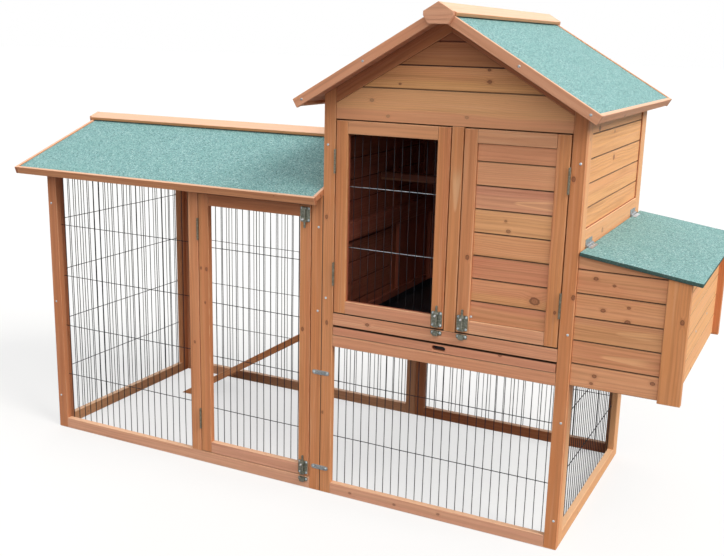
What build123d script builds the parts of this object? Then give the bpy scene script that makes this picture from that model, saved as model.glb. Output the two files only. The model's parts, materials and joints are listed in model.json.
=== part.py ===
# Wooden chicken coop: a raised house with a nest box on its right wall and a mesh run on its left.
# Millimetres. +X runs along the front towards the nest box, +Y goes in depth, +Z is up.
# The origin is on the ground, under the middle of the whole coop.
import os
from math import cos, radians, sin, tan

from build123d import *

os.makedirs("parts", exist_ok=True)

# Timber sections and the gap left at every butt joint and seat
member = 34.0
frame_t = 18.0
board_t = 10.0
board_pitch = 59.5
board_gap = 2.0
board_recess = 5.0
gable_recess = 2.0
fit = 0.3

# House: outside sizes, then the front's stack of heights from the ground up
house_width = 700.0
depth = 700.0
house_wall = 1130.5
house_pitch = radians(30.2)
mesh_top = 444.0
lower_rail = 32.0
tray_slot = 30.0
sill_height = 34.0
house_door_height = 523.0
header_height = 86.0
door_gap = 3.0
mesh_door_width = 322.0
house_mullion = 31.0
door_first_board = 54.0
right_first_board = 51.0

# Run: outside sizes and its door
run_length = 988.0
run_wall = 863.0
run_pitch = radians(19.0)
run_top_rail = 27.0
run_door_width = 374.0
panel_gap = 0.5

# Roofs: layers, edge boards, ridge boards and how far they reach past the walls
felt_t = 2.5
felt_drop = 3.0
deck_t = 10.0
barge_depth = 25.0
barge_t = 9.0
eave_depth = 22.0
eave_t = 9.0
ridge_width = 44.0
ridge_t = 10.0
cap_t = 12.0
cap_half_width = 38.5
cap_half_foot = 26.0
cap_side = 10.0
cap_height = 52.0
house_eave_out = 50.0
house_front_out = 82.0
house_rear_out = 104.0
run_eave_out = 50.0
run_left_out = 85.0

# Welded net: wire, spacing of the upright and level wires, and lap on the frames
wire = 2.0
net_pitch = 24.0
net_rise = 166.0
net_lap = 12.0
house_net_line = 170.0
back_net_line = 189.0
run_net_line = 181.0
left_net_line = 192.0
run_door_net_line = 173.0
mesh_door_net_line = 181.0

# Nest box
nest_reach = 267.0
corner_width = 54.0
nest_end_set = 18.0
nest_bottom = 451.0
corner_drop = 6.0
nest_floor_t = 9.0
divider_t = 9.0
divider_in = 197.0
lid_top = 791.5
lid_pitch = radians(8.0)
lid_board_t = 8.0
lid_felt_t = 2.0
lid_wall_gap = 4.0
lid_end_out = 25.0
lid_side_out = 4.0
hinge_rail = 53.0
hinge_rail_drop = 8.5

# Tray, perch, pop hole with its sliding door, and ramp
tray_front_t = 18.0
tray_play = 1.5
tray_top_gap = 4.5
slot_length = 39.0
slot_height = 14.0
pan_t = 1.0
pan_height = 22.0
pan_side = 42.0
pan_back_gap = 4.0
runner_width = 34.0
runner_height = 18.0
perch_y = 340.0
perch_z = 882.0
perch_width = 30.0
perch_height = 24.0
pop_width = 197.0
pop_head = 740.0
pop_lap = 10.0
pop_play = 0.5
guide_spacer = 12.0
guide_lip = 8.0
guide_lap = 12.0
guide_height = 38.0
guide_foot = 24.0
ramp_run = 830.0
ramp_t = 22.0
ramp_side = 4.0

# Hinges
hinge_length = 64.0
knuckle_r = 3.2
knuckle_gap = 0.4
pin_r = 1.6
pin_play = 0.05
leaf_t = 1.2
leaf_width = 15.0
barrel_stand = 0.1
house_hinge_in = 108.0
run_hinge_in = 105.0
lid_hinge_in = 90.0

# Door bolts and the straps that tie the run to the house
bolt_plate_width = 31.0
bolt_plate_length = 42.0
bolt_plate_t = 1.5
bolt_set = 5.0
bolt_r = 3.0
bolt_play = 0.08
bolt_stand = 0.4
bolt_travel = 17.0
guide_block = 14.0
guide_block_length = 5.0
guide_wall = 2.0
knob_r = 2.6
knob_reach = 13.0
keeper_length = 13.0
keeper_play = 0.6
strap_length = 54.0
strap_height = 13.0
strap_t = 1.5
strap_low = 74.0
strap_high = 361.0

# Screws through the corner stiles
screw_head_r = 3.8
screw_head_t = 1.2
screw_r = 2.0
screw_length = 45.0
screw_in = 12.0
leg_screw_low = 80.0
leg_screw_high = 349.0
screw_low = 580.0
screw_high = 1000.0
run_screw_low = 110.0
run_screw_high = 750.0

# Places along X, Y and Z that follow from the sizes above
lid_end = nest_reach + lid_end_out
left_reach = run_left_out + cap_t
run_x0 = -(left_reach + run_length + house_width + lid_end) / 2 + left_reach
house_x0 = run_x0 + run_length
house_x1 = house_x0 + house_width
house_mid = house_x0 + house_width / 2
run_x1 = house_x0 - panel_gap
front_reach = house_front_out + cap_t
front = -(front_reach + depth + house_rear_out + cap_t) / 2 + front_reach
back = front + depth
middle = front + depth / 2
inner_front = front + frame_t
inner_back = back - frame_t

lower_top = mesh_top + lower_rail
sill_z = lower_top + tray_slot
door_z0 = sill_z + sill_height + door_gap
door_z1 = door_z0 + house_door_height
header_z = door_z1 + door_gap
mesh_door_x0 = house_x0 + member + door_gap
mesh_door_x1 = mesh_door_x0 + mesh_door_width
mullion_x0 = mesh_door_x1 + door_gap
mullion_x1 = mullion_x0 + house_mullion
board_door_x0 = mullion_x1 + door_gap
board_door_x1 = house_x1 - member - door_gap

run_door_x1 = run_x1 - member - door_gap
run_door_x0 = run_door_x1 - run_door_width
run_mullion_x1 = run_door_x0 - door_gap
run_mullion_x0 = run_mullion_x1 - member
run_rail_z = run_wall - fit - run_top_rail
run_door_z0 = member + door_gap
run_door_z1 = run_rail_z - door_gap

roof_stack = felt_drop + felt_t + deck_t
house_apex = house_wall + house_width / 2 * tan(house_pitch) + roof_stack / cos(house_pitch)
run_apex = run_wall + depth / 2 * tan(run_pitch) + roof_stack / cos(run_pitch)

rail_z = lid_top - hinge_rail_drop
pop_y1 = inner_back - fit - member
pop_y0 = pop_y1 - pop_width
guide_x0 = house_x0 + frame_t
barrel_y = front - knuckle_r - barrel_stand
bolt_y = front - bolt_plate_t - bolt_stand - bolt_r
house_hinges = (door_z0 + house_hinge_in, door_z1 - house_hinge_in)
run_hinges = (run_door_z0 + run_hinge_in, run_door_z1 - run_hinge_in)
lid_hinges = (front + lid_hinge_in, back - lid_hinge_in)


# Planes: a sketch on a front plane is drawn in X and Z, one on a side plane in Y and Z.
# A front plane extrudes towards the front (-Y), a side plane towards the nest box (+X).
def front_plane(y):
    return Plane.XZ.offset(-y)


def side_plane(x):
    return Plane.YZ.offset(x)


# Timber, boards, nets and roof layers, each added to the part that is being built
def timber(x, y, z):
    """Adds one square-cut timber, from its low and high place on each axis."""
    with Locations((x[0], y[0], z[0])):
        Box(x[1] - x[0], y[1] - y[0], z[1] - z[0], align=Align.MIN)


def side_timber(y, x, z):
    """The same for a panel that runs in depth: its length is along Y."""
    timber(x, y, z)


def panel_frame(place, length, across, height, rails):
    """Adds two full-height stiles and the rails between them; rails lists each rail's low and high z."""
    place((length[0], length[0] + member), across, height)
    place((length[1] - member, length[1]), across, height)
    for rail in rails:
        place((length[0] + member + fit, length[1] - member - fit), across, rail)


def board_rows(low, high, first=board_pitch):
    """Low and high edges of boards stacked from low to high; the last one takes what is left."""
    edges = [low]
    edge = low + first
    while edge < high - board_pitch / 3:
        edges.append(edge)
        edge += board_pitch
    edges.append(high + board_gap)
    return [(a, b - board_gap) for a, b in zip(edges, edges[1:])]


def boards(plane, length, rows, thickness, outline=None):
    """Adds level boards, cut to an outline where one is given."""
    with BuildSketch(plane) as faces:
        for low, high in rows:
            with Locations((length[0], low)):
                Rectangle(length[1] - length[0], high - low, align=Align.MIN)
        if outline:
            Polygon(*outline, align=None, mode=Mode.INTERSECT)
    extrude(faces.sketch, amount=thickness)


def outline_board(plane, outline, thickness):
    """Adds one board cut to an outline."""
    with BuildSketch(plane) as face:
        Polygon(*outline, align=None)
    extrude(face.sketch, amount=thickness)


def net(plane, length, height, line):
    """Adds a welded net: one face with a hole for every gap, as thick as its wire.
    line is the height of its first level wire."""
    columns = round((length[1] - length[0] - wire) / net_pitch)
    pitch = (length[1] - length[0] - wire) / columns
    centre = (length[0] + length[1]) / 2
    lines = [height[0]]
    while line < height[1] - net_rise / 4:
        lines.append(line)
        line += net_rise
    lines.append(height[1] - wire)
    with BuildSketch(plane) as face:
        with Locations((length[0], height[0])):
            Rectangle(length[1] - length[0], height[1] - height[0], align=Align.MIN)
        for low, high in zip(lines, lines[1:]):
            with Locations((centre, (low + wire + high) / 2)):
                with GridLocations(pitch, 1, columns, 1):
                    Rectangle(pitch - wire, high - low - wire, mode=Mode.SUBTRACT)
    extrude(face.sketch, amount=wire)


def slope(pitch, apex, ridge, across, depths, side):
    """Outline of a roof layer, seen along its ridge: square to the slope, upright where it meets the ridge.
    across is from and to the ridge, depths are measured down from the plane of the edge boards' tops."""
    top, bottom = depths
    near, far = across

    def square(distance, depth):
        x = ridge + side * (distance - depth * sin(pitch))
        return x, apex - distance * tan(pitch) - depth * cos(pitch)

    def upright(distance, depth):
        return ridge + side * distance, apex - distance * tan(pitch) - depth / cos(pitch)

    inner = square if near > fit else upright
    return [inner(near, top), inner(near, bottom), square(far, bottom), square(far, top)]


def house_layer(across, depths, y):
    """Adds one layer to both slopes of the house roof, from y[0] to y[1]."""
    for side in (-1, 1):
        section = slope(house_pitch, house_apex, house_mid, across, depths, side)
        outline_board(front_plane(y[1]), section, y[1] - y[0])


def run_layer(across, depths, x):
    """Adds one layer to both slopes of the run roof, from x[0] to x[1]."""
    for side in (-1, 1):
        section = slope(run_pitch, run_apex, middle, across, depths, side)
        outline_board(side_plane(x[0]), section, x[1] - x[0])


def house_under(x):
    """Height of the house roof's underside over x, less the gap of a seat."""
    return house_wall + (house_width / 2 - abs(x - house_mid)) * tan(house_pitch) - fit


rake_drop = member / cos(house_pitch)


def under_rakes(x):
    """Height of the underside of the gable's sloping members over x, less the gap of a seat."""
    return house_under(x) - rake_drop - fit


def gable_outline(length):
    """Outline under the gable's sloping members between two places along X."""
    left, right = length
    top = [(right, under_rakes(right)), (house_mid, under_rakes(house_mid)), (left, under_rakes(left))]
    return [(left, 0), (right, 0)] + top


def gable_rakes(y):
    """Adds the two sloping members of a house gable, from the corner stiles to the ridge."""
    for foot, head in ((between[0], house_mid - fit), (between[1], house_mid + fit)):
        low = [(foot, house_under(foot) - rake_drop), (head, house_under(head) - rake_drop)]
        high = [(head, house_under(head)), (foot, house_under(foot))]
        outline_board(front_plane(y[1]), low + high, y[1] - y[0])


def gable_stile(x, y):
    """Adds a stile from the ground to the sloping underside of the house roof."""
    top = [(x[1], house_under(x[1])), (x[0], house_under(x[0]))]
    outline_board(front_plane(y[1]), [(x[0], 0), (x[1], 0)] + top, y[1] - y[0])


def save(node, label):
    node.part.label = label
    export_step(node.part, f"parts/{label}.step")


# House front: corner stiles that are also the legs, mullion between the doors, sill and two lower rails
between = (house_x0 + member + fit, house_x1 - member - fit)
with BuildPart() as house_front_frame:
    gable_stile((house_x0, house_x0 + member), (front, inner_front))
    gable_stile((house_x1 - member, house_x1), (front, inner_front))
    gable_rakes((front, inner_front))
    timber(between, (front, inner_front), (0, member))
    timber(between, (front, inner_front), (mesh_top, lower_top))
    timber(between, (front, inner_front), (sill_z, sill_z + sill_height))
    timber((mullion_x0, mullion_x1), (front, inner_front), (sill_z + sill_height + fit, header_z - fit))
save(house_front_frame, "house_front_frame")

with BuildPart() as house_front_boards:
    rows = board_rows(header_z, under_rakes(house_mid), header_height)
    boards(front_plane(front + gable_recess + board_t), between, rows, board_t, gable_outline(between))
save(house_front_boards, "house_front_boards")

# House back: the same legs and lower rails, boards all the way up
with BuildPart() as house_back_frame:
    gable_stile((house_x0, house_x0 + member), (inner_back, back))
    gable_stile((house_x1 - member, house_x1), (inner_back, back))
    gable_rakes((inner_back, back))
    timber(between, (inner_back, back), (0, member))
    timber(between, (inner_back, back), (mesh_top, lower_top))
save(house_back_frame, "house_back_frame")

with BuildPart() as house_back_boards:
    rows = board_rows(lower_top + fit, under_rakes(house_mid))
    boards(front_plane(back - gable_recess), between, rows, board_t, gable_outline(between))
save(house_back_boards, "house_back_boards")

# House right wall: open to the nest box between a low lip board and the rail that carries the lid
side_length = (inner_front + fit, inner_back - fit)
side_between = (side_length[0] + member + fit, side_length[1] - member - fit)
wall_top = house_wall - fit
right_x = (house_x1 - frame_t, house_x1)
with BuildPart() as house_right_frame:
    rails = [(0, member), (mesh_top, lower_top), (rail_z, rail_z + hinge_rail)]
    panel_frame(side_timber, side_length, right_x, (0, wall_top), rails)
save(house_right_frame, "house_right_frame")

with BuildPart() as house_right_boards:
    lip = (lower_top + fit, lower_top + fit + board_pitch - board_gap)
    rows = board_rows(rail_z + hinge_rail + fit, wall_top, right_first_board)
    boards(side_plane(house_x1 - board_recess - board_t), side_between, rows + [lip], board_t)
save(house_right_boards, "house_right_boards")

# House left wall: hangs between front and back above the run, with the pop hole at its rear end
left_x = (house_x0, house_x0 + frame_t)
pop_stile = (pop_y0 - member, pop_y0)
with BuildPart() as house_left_frame:
    panel_frame(side_timber, side_length, left_x, (mesh_top, wall_top), [(mesh_top, lower_top)])
    side_timber(pop_stile, left_x, (lower_top + fit, wall_top))
    side_timber((pop_y0 + fit, pop_y1 - fit), left_x, (pop_head, pop_head + member))
    side_timber((pop_y0 + fit, pop_y1 - fit), left_x, (lower_top + fit, sill_z))
save(house_left_frame, "house_left_frame")

with BuildPart() as house_left_boards:
    wall = side_plane(house_x0 + board_recess)
    boards(wall, (side_between[0], pop_stile[0] - fit), board_rows(lower_top + fit, wall_top), board_t)
    boards(wall, (pop_y0 + fit, pop_y1 - fit), board_rows(pop_head + member + fit, wall_top), board_t)
save(house_left_boards, "house_left_boards")

# Nets below the house: inside the front and right frames, outside the back frame
net_z = (member - net_lap, mesh_top + net_lap)
net_x = (house_x0 + member - net_lap, house_x1 - member + net_lap)
net_y = (side_length[0] + member - net_lap, side_length[1] - member + net_lap)
with BuildPart() as house_nets:
    net(front_plane(inner_front + wire), net_x, net_z, house_net_line)
    net(front_plane(back + wire), net_x, net_z, back_net_line)
    net(side_plane(house_x1 - frame_t - wire), net_y, net_z, house_net_line)
save(house_nets, "house_nets")

# Droppings tray: a wooden front with a finger slot, a sheet metal pan and the two runners that carry it
tray_x = (between[0] + tray_play, between[1] - tray_play)
tray_z = (lower_top + tray_play, sill_z - tray_top_gap)
pan_z = lower_top + tray_play + pan_t
with BuildPart() as tray_front:
    timber(tray_x, (front, front + tray_front_t), tray_z)
    with BuildSketch(front_plane(front + tray_front_t)):
        with Locations((house_mid, (tray_z[0] + tray_z[1]) / 2)):
            SlotOverall(slot_length, slot_height)
    extrude(amount=tray_front_t, mode=Mode.SUBTRACT)
save(tray_front, "tray_front")

pan_x = (house_x0 + pan_side, house_x1 - pan_side)
pan_y = (front + tray_front_t, inner_back - pan_back_gap)
with BuildPart() as tray_pan:
    timber(pan_x, pan_y, (pan_z, pan_z + pan_height))
    with Locations((pan_x[0] + pan_t, pan_y[0] + pan_t, pan_z + pan_t)):
        inside = (pan_x[1] - pan_x[0] - 2 * pan_t, pan_y[1] - pan_y[0] - 2 * pan_t, pan_height)
        Box(*inside, align=Align.MIN, mode=Mode.SUBTRACT)
save(tray_pan, "tray_pan")

with BuildPart() as tray_runners:
    runner_z = (pan_z - fit - runner_height, pan_z - fit)
    timber((house_x0 + frame_t + fit, house_x0 + frame_t + runner_width), side_between, runner_z)
    timber((house_x1 - frame_t - runner_width, house_x1 - frame_t - fit), side_between, runner_z)
save(tray_runners, "tray_runners")

# Perch from wall to wall
wall_skin = board_recess + board_t
with BuildPart() as perch:
    with Locations((house_mid, front + perch_y, perch_z)):
        Box(house_width - 2 * wall_skin - 2 * fit, perch_width, perch_height)
    fillet(perch.edges().filter_by(Axis.X), perch_height / 4)
save(perch, "perch")

# Pop door: a panel that slides along the inside of the left wall between an upper and a lower guide,
# shut over the pop hole
pop_door_z = (sill_z + pop_play, pop_head - pop_play)
pop_door_x = (guide_x0 + pop_play, guide_x0 + pop_play + board_t)
with BuildPart() as pop_door:
    timber(pop_door_x, (pop_y0 - pop_lap, pop_y1 + pop_lap), pop_door_z)
save(pop_door, "pop_door")

lip_x = guide_x0 + guide_spacer
with BuildPart() as pop_door_guides:
    timber((guide_x0, lip_x + guide_lip), side_length, (pop_head, pop_head + guide_height))
    timber((lip_x, lip_x + guide_lip), side_length, (pop_head - guide_lap, pop_head))
    timber((guide_x0, lip_x + guide_lip), side_between, (sill_z - guide_foot, sill_z))
    timber((lip_x, lip_x + guide_lip), side_between, (sill_z, sill_z + guide_lap))
save(pop_door_guides, "pop_door_guides")

# Ramp: one board, cut level where it stands on the ground and upright where it meets the pop hole
ramp_end = house_x0 - fit
ramp_slope = sill_z / ramp_run
ramp_drop = ramp_t * (1 + ramp_slope**2) ** 0.5
ramp_outline = [
    (ramp_end - ramp_run, 0),
    (ramp_end - ramp_run + ramp_drop / ramp_slope, 0),
    (ramp_end, sill_z - ramp_drop),
    (ramp_end, sill_z),
]
with BuildPart() as ramp_board:
    outline_board(front_plane(pop_y1 - ramp_side), ramp_outline, pop_width - 2 * ramp_side)
save(ramp_board, "ramp_board")

# Run: front frame with its door post, left frame and back frame
run_bar = run_wall - fit
with BuildPart() as run_front_frame:
    run_rails = [(0, member), (run_rail_z, run_bar)]
    panel_frame(timber, (run_x0, run_x1), (front, inner_front), (0, run_bar), run_rails)
    timber((run_mullion_x0, run_mullion_x1), (front, inner_front), (member + fit, run_rail_z - fit))
save(run_front_frame, "run_front_frame")

with BuildPart() as run_left_frame:
    panel_frame(side_timber, side_length, (run_x0, run_x0 + frame_t), (0, run_bar), run_rails)
save(run_left_frame, "run_left_frame")

with BuildPart() as run_back_frame:
    panel_frame(timber, (run_x0, run_x1), (inner_back, back), (0, run_bar), run_rails)
save(run_back_frame, "run_back_frame")

# Nets of the run: inside the front frame, outside the left and back frames
run_net_z = (member - net_lap, run_rail_z + net_lap)
with BuildPart() as run_nets:
    run_net_x0 = run_x0 + member - net_lap
    net(front_plane(inner_front + wire), (run_net_x0, run_mullion_x0 + net_lap), run_net_z, run_net_line)
    net(side_plane(run_x0 - wire), net_y, run_net_z, left_net_line)
    net(front_plane(back + wire), (run_net_x0, run_x1 - member + net_lap), run_net_z, back_net_line)
save(run_nets, "run_nets")

# Gable of the run's free end, above its left frame
gable_y = (inner_front, inner_back)
gable_rise = (depth / 2 - frame_t) * tan(run_pitch)
edge_rise = frame_t * tan(run_pitch) - fit
with BuildPart() as run_gable_boards:
    gable = [
        (gable_y[0], run_wall),
        (gable_y[1], run_wall),
        (gable_y[1], run_wall + edge_rise),
        (middle, run_wall + edge_rise + gable_rise),
        (gable_y[0], run_wall + edge_rise),
    ]
    rows = board_rows(run_wall, run_wall + edge_rise + gable_rise)
    boards(side_plane(run_x0 + board_recess), gable_y, rows, board_t, gable)
save(run_gable_boards, "run_gable_boards")

# House roof
house_half = house_width / 2 + house_eave_out
felt_layer = (felt_drop, felt_drop + felt_t)
deck_layer = (felt_drop + felt_t, roof_stack)
house_roof_y = (front - house_front_out, back + house_rear_out)
house_deck_y = (house_roof_y[0] + barge_t + fit, house_roof_y[1] - barge_t - fit)
house_cap_y = (house_roof_y[0] - cap_t, house_roof_y[1] + cap_t)
with BuildPart() as house_roof_decks:
    house_layer((fit, house_half - eave_t - fit), deck_layer, house_deck_y)
save(house_roof_decks, "house_roof_decks")

with BuildPart() as house_roof_felts:
    house_layer((fit, house_half - eave_t - fit), felt_layer, house_deck_y)
save(house_roof_felts, "house_roof_felts")

with BuildPart() as house_roof_edging:
    house_layer((fit, house_half), (0, barge_depth), (house_roof_y[0], house_roof_y[0] + barge_t))
    house_layer((fit, house_half), (0, barge_depth), (house_roof_y[1] - barge_t, house_roof_y[1]))
    house_layer((house_half - eave_t, house_half), (0, eave_depth), house_deck_y)
save(house_roof_edging, "house_roof_edging")

with BuildPart() as house_ridge_boards:
    house_layer((fit, ridge_width * cos(house_pitch)), (-ridge_t, -fit), house_roof_y)
save(house_ridge_boards, "house_ridge_boards")

# Run roof
run_half = depth / 2 + run_eave_out
run_roof_x = (run_x0 - run_left_out, run_x1 - fit)
run_deck_x = (run_roof_x[0] + barge_t + fit, run_roof_x[1] - barge_t - fit)
with BuildPart() as run_roof_decks:
    run_layer((fit, run_half - eave_t - fit), deck_layer, run_deck_x)
save(run_roof_decks, "run_roof_decks")

with BuildPart() as run_roof_felts:
    run_layer((fit, run_half - eave_t - fit), felt_layer, run_deck_x)
save(run_roof_felts, "run_roof_felts")

with BuildPart() as run_roof_edging:
    run_layer((fit, run_half), (0, eave_depth), (run_roof_x[0], run_roof_x[0] + barge_t))
    run_layer((fit, run_half - eave_t - fit), (0, roof_stack), (run_roof_x[1] - barge_t, run_roof_x[1]))
    run_layer((run_half - eave_t, run_half), (0, eave_depth), (run_deck_x[0], run_roof_x[1]))
save(run_roof_edging, "run_roof_edging")

with BuildPart() as run_ridge_boards:
    run_layer((fit, ridge_width * cos(run_pitch)), (-ridge_t, -fit), run_roof_x)
save(run_ridge_boards, "run_ridge_boards")


# End caps over the ends of the ridge boards: house front, house back and the run's free end
def cap_outline(ridge, apex, pitch):
    """Outline of a cap: it follows the ridge boards' tops, has upright sides and narrows to its foot."""
    top = apex + ridge_t / cos(pitch)
    shoulder = top - cap_half_width * tan(pitch)
    right = [
        (ridge + cap_half_width, shoulder),
        (ridge + cap_half_width, shoulder - cap_side),
        (ridge + cap_half_foot, top - cap_height),
    ]
    left = [(2 * ridge - across, up) for across, up in reversed(right)]
    return [(ridge, top)] + right + left


with BuildPart() as ridge_end_caps:
    house_cap = cap_outline(house_mid, house_apex, house_pitch)
    outline_board(front_plane(house_roof_y[0] - fit), house_cap, cap_t - fit)
    outline_board(front_plane(house_cap_y[1]), house_cap, cap_t - fit)
    outline_board(side_plane(run_roof_x[0] - cap_t), cap_outline(middle, run_apex, run_pitch), cap_t - fit)
save(ridge_end_caps, "ridge_end_caps")

# Nest box: side boards, corner boards, end boards, floor and the partitions between the nests
corner_x = (house_x1 + nest_reach - corner_width, house_x1 + nest_reach)
end_x1 = corner_x[1] - nest_end_set
end_x0 = end_x1 - board_t


def lid_point(along, up):
    """A point of the lid's section: along its slope from the wall, and up from its top."""
    x = house_x1 + along * cos(lid_pitch) + up * sin(lid_pitch)
    return x, lid_top - along * sin(lid_pitch) + up * cos(lid_pitch)


lid_t = lid_board_t + lid_felt_t


def lid_under(x):
    """Height of the lid's underside over x, less the gap of a seat."""
    return lid_top - lid_t / cos(lid_pitch) - (x - house_x1) * tan(lid_pitch) - fit


def under_lid(x, low):
    """Outline of a board that stands under the lid."""
    return [(x[0], low), (x[1], low), (x[1], lid_under(x[1])), (x[0], lid_under(x[0]))]


nest_inside = (house_x1 + fit, end_x0 - fit)
nest_y = (inner_front + fit, inner_back - fit)
with BuildPart() as nest_side_boards:
    nest_side = (house_x1 + fit, corner_x[0] - fit)
    rows = board_rows(nest_bottom, lid_under(nest_side[0]))
    for y in (front + board_recess + board_t, back - board_recess):
        boards(front_plane(y), nest_side, rows, board_t, under_lid(nest_side, nest_bottom))
save(nest_side_boards, "nest_side_boards")

with BuildPart() as nest_corner_boards:
    for y in (inner_front, back):
        outline_board(front_plane(y), under_lid(corner_x, nest_bottom - corner_drop), frame_t)
save(nest_corner_boards, "nest_corner_boards")

with BuildPart() as nest_end_boards:
    boards(side_plane(end_x0), nest_y, board_rows(nest_bottom, lid_under(end_x1)), board_t)
save(nest_end_boards, "nest_end_boards")

with BuildPart() as nest_floor:
    timber(nest_inside, nest_y, (nest_bottom, nest_bottom + nest_floor_t))
save(nest_floor, "nest_floor")

with BuildPart() as nest_dividers:
    partition = under_lid(nest_inside, nest_bottom + nest_floor_t + fit)
    for y in (front + divider_in, back - divider_in):
        outline_board(front_plane(y + divider_t / 2), partition, divider_t)
save(nest_dividers, "nest_dividers")

# Nest lid: a board with felt over its top and turned down over three edges
lid_length = lid_end / cos(lid_pitch)
lid_y = (front - lid_side_out, back + lid_side_out)


def lid_section(along, up):
    low = [lid_point(along[0], up[0]), lid_point(along[1], up[0])]
    high = [lid_point(along[1], up[1]), lid_point(along[0], up[1])]
    return low + high


with BuildPart() as lid_board:
    section = lid_section((lid_wall_gap, lid_length - lid_felt_t), (-lid_t, -lid_felt_t))
    outline_board(front_plane(lid_y[1] - lid_felt_t), section, lid_y[1] - lid_y[0] - 2 * lid_felt_t)
save(lid_board, "lid_board")

with BuildPart() as lid_felt:
    section = lid_section((lid_wall_gap, lid_length), (-lid_t, 0))
    outline_board(front_plane(lid_y[1]), section, lid_y[1] - lid_y[0])
    with BuildSketch(front_plane(lid_y[1] - lid_felt_t)):
        Polygon(*lid_section((0, lid_length - lid_felt_t), (-2 * lid_t, -lid_felt_t)), align=None)
    extrude(amount=lid_y[1] - lid_y[0] - 2 * lid_felt_t, mode=Mode.SUBTRACT)
save(lid_felt, "lid_felt")

# Doors
door_y = (front, inner_front)
with BuildPart() as run_door_frame:
    door_rails = [(run_door_z0, run_door_z0 + member), (run_door_z1 - member, run_door_z1)]
    panel_frame(timber, (run_door_x0, run_door_x1), door_y, (run_door_z0, run_door_z1), door_rails)
save(run_door_frame, "run_door_frame")

with BuildPart() as run_door_net:
    inset = member - net_lap
    span = (run_door_x0 + inset, run_door_x1 - inset)
    height = (run_door_z0 + inset, run_door_z1 - inset)
    net(front_plane(inner_front + wire), span, height, run_door_net_line)
save(run_door_net, "run_door_net")

house_door_rails = [(door_z0, door_z0 + member), (door_z1 - member, door_z1)]
with BuildPart() as mesh_door_frame:
    panel_frame(timber, (mesh_door_x0, mesh_door_x1), door_y, (door_z0, door_z1), house_door_rails)
save(mesh_door_frame, "mesh_door_frame")

with BuildPart() as mesh_door_net:
    span = (mesh_door_x0 + inset, mesh_door_x1 - inset)
    height = (door_z0 + inset, door_z1 - inset)
    net(front_plane(inner_front + wire), span, height, door_z0 + mesh_door_net_line)
save(mesh_door_net, "mesh_door_net")

with BuildPart() as board_door_frame:
    panel_frame(timber, (board_door_x0, board_door_x1), door_y, (door_z0, door_z1), house_door_rails)
save(board_door_frame, "board_door_frame")

with BuildPart() as board_door_boards:
    span = (board_door_x0 + member + fit, board_door_x1 - member - fit)
    rows = board_rows(door_z0 + member + fit, door_z1 - member - fit, door_first_board)
    boards(front_plane(front + board_recess + board_t), span, rows, board_t)
save(board_door_boards, "board_door_boards")

# Hinges: a barrel in front of the gap, its two leaves flat against the timber on either side of the gap
knuckle = (hinge_length - 2 * knuckle_gap) / 3
END_KNUCKLES = (-(knuckle + knuckle_gap), knuckle + knuckle_gap)
MIDDLE_KNUCKLE = (0,)
run_door_axis = run_door_x0 - door_gap / 2
mesh_door_axis = mesh_door_x0 - door_gap / 2
board_door_axis = board_door_x1 + door_gap / 2
leaf_y = (front + barrel_stand, front + leaf_width)
tab_y = (barrel_y + pin_r + pin_play + barrel_stand, leaf_y[0])


def door_leaf(axis_x, wood, z, knuckles):
    """Adds one leaf of a door hinge; wood is -1 where its timber is on the left of the gap, else 1."""
    edges = sorted((axis_x + wood * door_gap / 2, axis_x + wood * (door_gap / 2 - leaf_t)))
    timber(edges, leaf_y, (z - hinge_length / 2, z + hinge_length / 2))
    for middle_z in knuckles:
        span = (z + middle_z - knuckle / 2, z + middle_z + knuckle / 2)
        timber(edges, tab_y, span)
        with Locations((axis_x, barrel_y, z + middle_z)):
            Cylinder(knuckle_r, knuckle)
    with Locations((axis_x, barrel_y, z)):
        Cylinder(pin_r + pin_play, hinge_length, mode=Mode.SUBTRACT)


lid_axis_x = house_x1 + knuckle_r + barrel_stand
lid_axis_along = (lid_axis_x - house_x1 - (knuckle_r + barrel_stand) * sin(lid_pitch)) / cos(lid_pitch)
lid_axis_z = lid_point(lid_axis_along, knuckle_r + barrel_stand)[1]
lid_leaf_up = (0, leaf_t)
leaf_start = knuckle_r + 2 * barrel_stand


def lid_barrel(y, knuckles):
    """Adds the knuckles of a lid hinge and bores them."""
    for middle_y in knuckles:
        with Locations((lid_axis_x, y + middle_y, lid_axis_z)):
            Cylinder(knuckle_r, knuckle, rotation=(90, 0, 0))
    with Locations((lid_axis_x, y, lid_axis_z)):
        Cylinder(pin_r + pin_play, hinge_length, rotation=(90, 0, 0), mode=Mode.SUBTRACT)


def wall_leaf(y):
    """Adds the leaf of a lid hinge that lies on the wall."""
    leaf_x = (house_x1, house_x1 + leaf_t)
    leaf_z = (lid_axis_z + leaf_start, lid_axis_z + leaf_width)
    timber(leaf_x, (y - hinge_length / 2, y + hinge_length / 2), leaf_z)
    for middle_y in END_KNUCKLES:
        span = (y + middle_y - knuckle / 2, y + middle_y + knuckle / 2)
        timber(leaf_x, span, (lid_axis_z, lid_axis_z + leaf_start))
    lid_barrel(y, END_KNUCKLES)


def lid_leaf(y):
    """Adds the leaf of a lid hinge that lies on the lid."""
    plate = lid_section((lid_axis_along + leaf_start, lid_axis_along + leaf_width), lid_leaf_up)
    outline_board(front_plane(y + hinge_length / 2), plate, hinge_length)
    tab = lid_section((lid_axis_along, lid_axis_along + leaf_start), lid_leaf_up)
    outline_board(front_plane(y + knuckle / 2), tab, knuckle)
    lid_barrel(y, MIDDLE_KNUCKLE)


with BuildPart() as hinge_frame_leaves:
    for z in run_hinges:
        door_leaf(run_door_axis, -1, z, END_KNUCKLES)
    for z in house_hinges:
        door_leaf(mesh_door_axis, -1, z, END_KNUCKLES)
        door_leaf(board_door_axis, 1, z, END_KNUCKLES)
    for y in lid_hinges:
        wall_leaf(y)
save(hinge_frame_leaves, "hinge_frame_leaves")

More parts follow.
